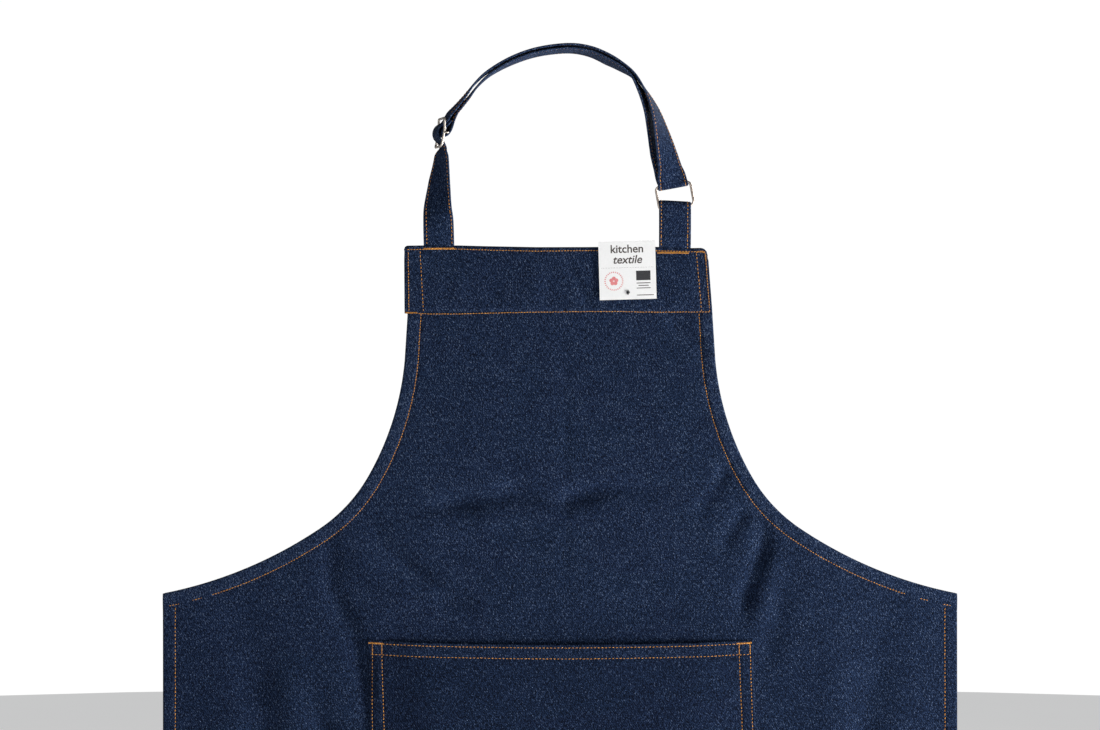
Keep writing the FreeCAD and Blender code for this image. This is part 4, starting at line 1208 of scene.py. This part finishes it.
def rounded_loop(width, height, radius, steps=8):
    """Outline (a, b) of a rectangle with round corners, as a closed list."""
    line = []
    for side_a, side_b, start in ((1, 1, 0), (-1, 1, 90), (-1, -1, 180), (1, -1, 270)):
        for step in range(steps + 1):
            angle = math.radians(start + 90 * step / steps)
            line.append((side_a * (width / 2 - radius) + radius * math.cos(angle),
                         side_b * (height / 2 - radius) + radius * math.sin(angle)))
    dense = []
    for first, second in zip(line, line[1:] + line[:1]):
        count = max(1, int(math.dist(first, second) / 1.5))
        for t in np.linspace(0, 1, count, endpoint=False):
            dense.append((first[0] + (second[0] - first[0]) * t, first[1] + (second[1] - first[1]) * t))
    return dense


RING_WIRE = 1.15
RING_LOOP = 33.2
SLIDER_WIRE = 1.05
SLIDER_WIDTH = 33.0
SLIDER_LENGTH = 25.0
SLIDER_BAR = 0.7


def make_metal():
    loop = rounded_loop(RING_LOOP - 2 * RING_WIRE, RING_BARS, 3.4)
    path = [RING_MIDDLE + RING_BAR * a - RING_DOWN * b for a, b in loop]
    settle(tube("ring_wire", path, RING_WIRE, NICKEL_RING, closed=True), "ring_metal", "ring", ["strap_ring"])

    path = []
    for a, b in rounded_loop(SLIDER_WIDTH - 2 * SLIDER_WIRE, SLIDER_LENGTH, 3.0):
        bow = 1.1 * (2 * b / SLIDER_LENGTH) ** 2 + 0.8
        path.append(beside_slider(b, bow) + SLIDER_ACROSS * a)
    settle(tube("slider_wire", path, SLIDER_WIRE, NICKEL_SLIDER, closed=True), "slider_metal", "slider",
           ["slider_frame"])

    # the centre bar: a straight wire whose ends curl round the two rails
    rail = SLIDER_WIDTH / 2 - SLIDER_WIRE
    curl = 2 * SLIDER_WIRE - 0.45
    level = curl * 0.75
    ends = {}
    for name, side in SIDES_OF.items():
        turns = [math.radians(turn) for turn in range(-40, 250, 18)]
        ends[name] = [(side * (rail + curl * math.sin(turn)), curl * math.cos(turn)) for turn in turns]
    straight_part = [(a, level) for a in np.linspace(-rail + 3.2, rail - 3.2, 16)]
    places = ends["left"][::-1] + straight_part + ends["right"]
    path = [beside_slider(0, c - level) + SLIDER_ACROSS * a for a, c in places]
    settle(tube("slider_centre_bar", path, SLIDER_BAR, NICKEL_SLIDER, sides=16), "slider_metal", "slider",
           ["slider_bar"])


# ------------------------------------------------------------------ hang tag

TAG_PIN = (59.8, -40.0)
TAG_TILT = math.radians(1.6)
TAG_HALF = 25.0
TAG_LOW = -6.2
TAG_HIGH = 45.3
TAG_FACE = corner("hang_tag", 0)[1]
TAG_BACK = corner("hang_tag", 1)[1]


def on_tag(a, b, y):
    """Place of a point of the tag, a to the right of its pin and b above it."""
    x = TAG_PIN[0] + a * math.cos(TAG_TILT) - b * math.sin(TAG_TILT)
    h = TAG_PIN[1] + a * math.sin(TAG_TILT) + b * math.cos(TAG_TILT)
    return x, y, h + BIB_TOP


PRINT_FRONT = TAG_FACE - 0.04
PRINT_BACK = TAG_FACE - 0.005


def tag_prism(name, outline, material, front=PRINT_FRONT, back=PRINT_BACK, hole=(), nodes=()):
    """Thin plate with the outline (a, b) on the tag; a hole has as many corners as the outline."""
    count = len(outline)
    points = [on_tag(a, b, y) for line in (outline, hole) for y in (front, back) for a, b in line]
    faces = []
    if hole:
        for index in range(count):
            after = (index + 1) % count
            here, there = index + 2 * count, after + 2 * count
            faces.append([index, after, there, here])
            faces.append([here + count, there + count, after + count, index + count])
            faces.append([here, there, there + count, here + count])
    else:
        faces.append(list(range(count)))
        faces.append([count + index for index in range(count)][::-1])
    for index in range(count):
        after = (index + 1) % count
        faces.append([after, index, count + index, count + after])
    settle(make_mesh(name, points, faces, material, flat=True), "card", "tag", nodes)


def tag_text(name, words, b, height, material, shear=0.0):
    """Plain lettering, centred on the tag at the height b."""
    curve = bpy.data.curves.new(name + "_curve", "FONT")
    curve.body = words
    curve.size = height * MM
    curve.shear = shear
    curve.align_x = "CENTER"
    curve.extrude = 0.03 * MM
    curve.offset = 0.16 * MM
    holder = bpy.data.objects.new(name + "_holder", curve)
    bpy.context.collection.objects.link(holder)
    bpy.context.view_layer.update()
    mesh = bpy.data.meshes.new_from_object(holder)
    bpy.data.objects.remove(holder)
    for vertex in mesh.vertices:
        right, up, out = vertex.co / MM
        vertex.co = Vector(on_tag(right, b + up, TAG_FACE - 0.01 - out)) * MM
    mesh.name = name
    mesh.materials.clear()
    settle(add_object(name, mesh, material), "card", "tag")


def box_outline(a, b, width, height):
    return [(a + side_a * width / 2, b + side_b * height / 2)
            for side_a, side_b in ((-1, -1), (1, -1), (1, 1), (-1, 1))]


def make_tag():
    outline = []
    corners = box_outline(0, (TAG_LOW + TAG_HIGH) / 2, 2 * TAG_HALF, TAG_HIGH - TAG_LOW)
    for start, end in zip(corners, corners[1:] + corners[:1]):
        outline += [tuple(place) for place in np.linspace(start, end, 12, endpoint=False)]
    angles = [math.atan2(b, a) for a, b in outline]
    hole = [(1.5 * math.cos(angle), 1.5 * math.sin(angle)) for angle in angles]
    tag_prism("tag_card", outline, CARD, TAG_FACE, TAG_BACK, hole, ["hang_tag"])

    tag_text("tag_word_upper", "kitchen", 35.0, 10.0, INK_GREY)
    tag_text("tag_word_lower", "textile", 25.6, 10.0, INK_GREY, 0.22)
    for index in range(33):
        tag_prism("tag_rule_dot_%02d" % index, circle((-22.4 + 1.4 * index, 21.8), 0.24, 45), INK_GREY)
    # a plain rosette: an open ring of ticks round five round petals
    centre_a, centre_b = (-12.2, 10.2)
    for index in range(28):
        angle = math.radians(360 / 28 * index)
        tick = [(centre_a + reach * math.cos(angle + turn), centre_b + reach * math.sin(angle + turn))
                for reach, turn in ((7.2, -0.06), (8.4, -0.05), (8.4, 0.05), (7.2, 0.06))]
        tag_prism("tag_rosette_tick_%02d" % index, tick, INK_ROSE)
    for index in range(5):
        angle = math.radians(90 + 72 * index)
        middle = (centre_a + 2.3 * math.cos(angle), centre_b + 2.3 * math.sin(angle))
        tag_prism("tag_rosette_petal_%d" % index, circle(middle, 1.75, 24), INK_ROSE,
                  PRINT_FRONT - 0.01 * index)
    tag_prism("tag_dark_block", box_outline(13.8, 14.6, 12.6, 8.4), INK_DARK)
    for index, width in enumerate((12.2, 9.0, 12.2)):
        tag_prism("tag_fine_line_%d" % index, box_outline(13.8, 8.0 - 2.2 * index, width, 0.7), INK_GREY)
    tag_prism("tag_fine_line_low", box_outline(15.2, -2.6, 15.0, 0.7), INK_GREY)


# ------------------------------------------------------------------ waist ties

def sew_box(name, strap, **settled):
    """A square with its two diagonals, sewn on the back of a tie's upper end."""
    points, _across, through = strap
    face = through[5] * np.sign(through[5][1])
    centre = points[0] + np.array([0, 0, -12.5]) + face * STRAP_THICK / 2 + LIFTED
    a, b, c, d = [np.array([x, 0, h]) for x, h in ((-9, 8.5), (9, 8.5), (9, -8.5), (-9, -8.5))]
    group = Sewing()
    for start, end in ((a, b), (b, c), (c, d), (d, a), (a, c), (b, d)):
        line = centre + np.linspace(start, end, 9)
        group.row(line, np.repeat(face[None, :], 9, axis=0), pitch=2.4, length=1.9)
    group.finish(name, **settled)


def make_ties():
    for name, side in SIDES_OF.items():
        low = corner("waist_tie_" + name, 0)
        high = corner("waist_tie_" + name, 1)
        top = high[2] - BIB_TOP - 1
        heights = np.linspace(top, low[2] - BIB_TOP + 2, 240)
        free = smooth((top - 26 - heights) / 220.0)
        x = (low[0] + high[0]) / 2 + free * 5.0 * np.sin(heights / 118.0 + side)
        y = (low[1] + high[1]) / 2 + 0.4 + free * (4.2 + 1.4 * np.sin(heights / 83.0 + 2 * side))
        turn = np.radians(90 + free * 16 * np.sin(heights / 140.0 + 1.5 * side))
        across = np.stack([np.sin(turn) * side, -np.cos(turn), np.zeros(len(turn))], axis=1)
        body = "tie_" + name
        obj, strap = strap_piece("waist_tie_cloth_" + name, np.stack([x, y, heights], axis=1), across,
                                 body=body, nodes=["waist_tie_" + name])
        last = len(heights) - 3
        strap_sewing("waist_tie_stitching_" + name, strap, trim=(1, 2), crossing=((last, 1), (last, -1)),
                     body=body)
        sew_box("tie_box_stitching_" + name, strap, body=body, nodes=["tie_tack_" + name])


# ------------------------------------------------------------------ stage, light and camera

def area_light(name, place, target, size, power):
    data = bpy.data.lights.new(name, "AREA")
    data.shape = "DISK"
    data.size = size
    data.energy = power
    obj = bpy.data.objects.new(name, data)
    bpy.context.collection.objects.link(obj)
    obj.location = place
    obj.rotation_euler = (Vector(target) - Vector(place)).to_track_quat("-Z", "Y").to_euler()


FLOOR_GAP = 80.0
FLOOR_REACH = 7000.0


def make_floor():
    low = CAD_BOX[0][2] / MM - FLOOR_GAP
    turns = [2 * math.pi * step / 64 for step in range(64)]
    points = [(FLOOR_REACH * math.cos(turn), FLOOR_REACH * math.sin(turn), low) for turn in turns]
    material = plain_material("pale_floor", (0.92, 0.92, 0.92), (0.95, 0.95, 0.95), 0.75, 3.0, 0.0001)
    shader = material.node_tree.nodes["Principled BSDF"]
    put(shader, {"Emission Color": (1.0, 1.0, 1.0, 1), "Emission Strength": 0.42})
    make_mesh("floor", points, [list(range(64))], material, flat=True)


def make_world():
    """White behind the object, and a weaker, slightly cool light from all round."""
    studio = bpy.data.worlds.new("studio")
    bpy.context.scene.world = studio
    studio.use_nodes = True
    tree = studio.node_tree
    tree.nodes.clear()
    mix = node(tree, "ShaderNodeMixShader")
    tree.links.new(node(tree, "ShaderNodeLightPath").outputs["Is Camera Ray"], mix.inputs[0])
    for slot, colour, strength in ((1, (0.96, 0.98, 1, 1), 0.16), (2, (1, 1, 1, 1), 1.02)):
        background = node(tree, "ShaderNodeBackground")
        put(background, {"Color": colour, "Strength": strength})
        tree.links.new(background.outputs[0], mix.inputs[slot])
    tree.links.new(mix.outputs[0], node(tree, "ShaderNodeOutputWorld").inputs["Surface"])


def make_stage():
    make_floor()
    make_world()
    scene = bpy.context.scene
    scene.view_settings.view_transform = "Standard"
    scene.view_settings.look = "None"
    middle = (0.0, 0.0, (BIB_TOP - 250) * MM)
    area_light("key_right", (2.1, -0.80, -0.80), middle, 0.6, 86.0)
    area_light("fill_left", (-0.9, -2.1, 0.48), middle, 1.2, 10.0)
    area_light("back_soft", (1.3, 1.6, 0.4), middle, 1.0, 34.0)


SENSOR = 36.0
VIEW_WIDTH = 968.0
VIEW_DISTANCE = 2600.0
VIEW_CENTRE = (-8.8, -103.8)      # (x, h)


def make_camera():
    """Square on, from far enough to flatten the view; the frame is 1100 wide by 730 high."""
    data = bpy.data.cameras.new("camera")
    data.sensor_width = SENSOR
    data.lens = SENSOR * VIEW_DISTANCE / VIEW_WIDTH
    data.clip_end = 50
    obj = bpy.data.objects.new("camera", data)
    bpy.context.collection.objects.link(obj)
    obj.location = world(*VIEW_CENTRE, -VIEW_DISTANCE)
    obj.rotation_euler = (math.pi / 2, 0, 0)
    bpy.context.scene.camera = obj


def make_fastener():
    """Nylon T-bar: a short bar in front of the card, a thread through both cloths and a bar behind."""
    front = TAG_FACE - 0.75
    behind = corner("tag_fastener", 1)[1] - 0.3
    x, h = TAG_PIN
    spots = (
        ("tag_fastener_bar", [(x, front, h - 2.1), (x + 0.1, front, h), (x, front, h + 2.1)], 0.5, ()),
        ("tag_fastener_thread", [(x, front, h), (x + 0.1, front / 2, h - 0.1), (x, behind, h)], 0.28,
         ["tag_fastener"]),
        ("tag_fastener_back_bar", [(x - 2.1, behind, h), (x, behind + 0.1, h), (x + 2.1, behind, h)], 0.45,
         ()),
    )
    for name, path, radius, nodes in spots:
        settle(tube(name, curve_through(path, 0.5), radius, NYLON, sides=12), "fastener", "apron", nodes)


make_stage()
make_camera()
make_panel()
make_facing()
make_hems()
make_pocket()
make_neck_straps()
make_metal()
make_tag()
make_ties()
make_apron_stitching()
make_tacks()
make_fastener()
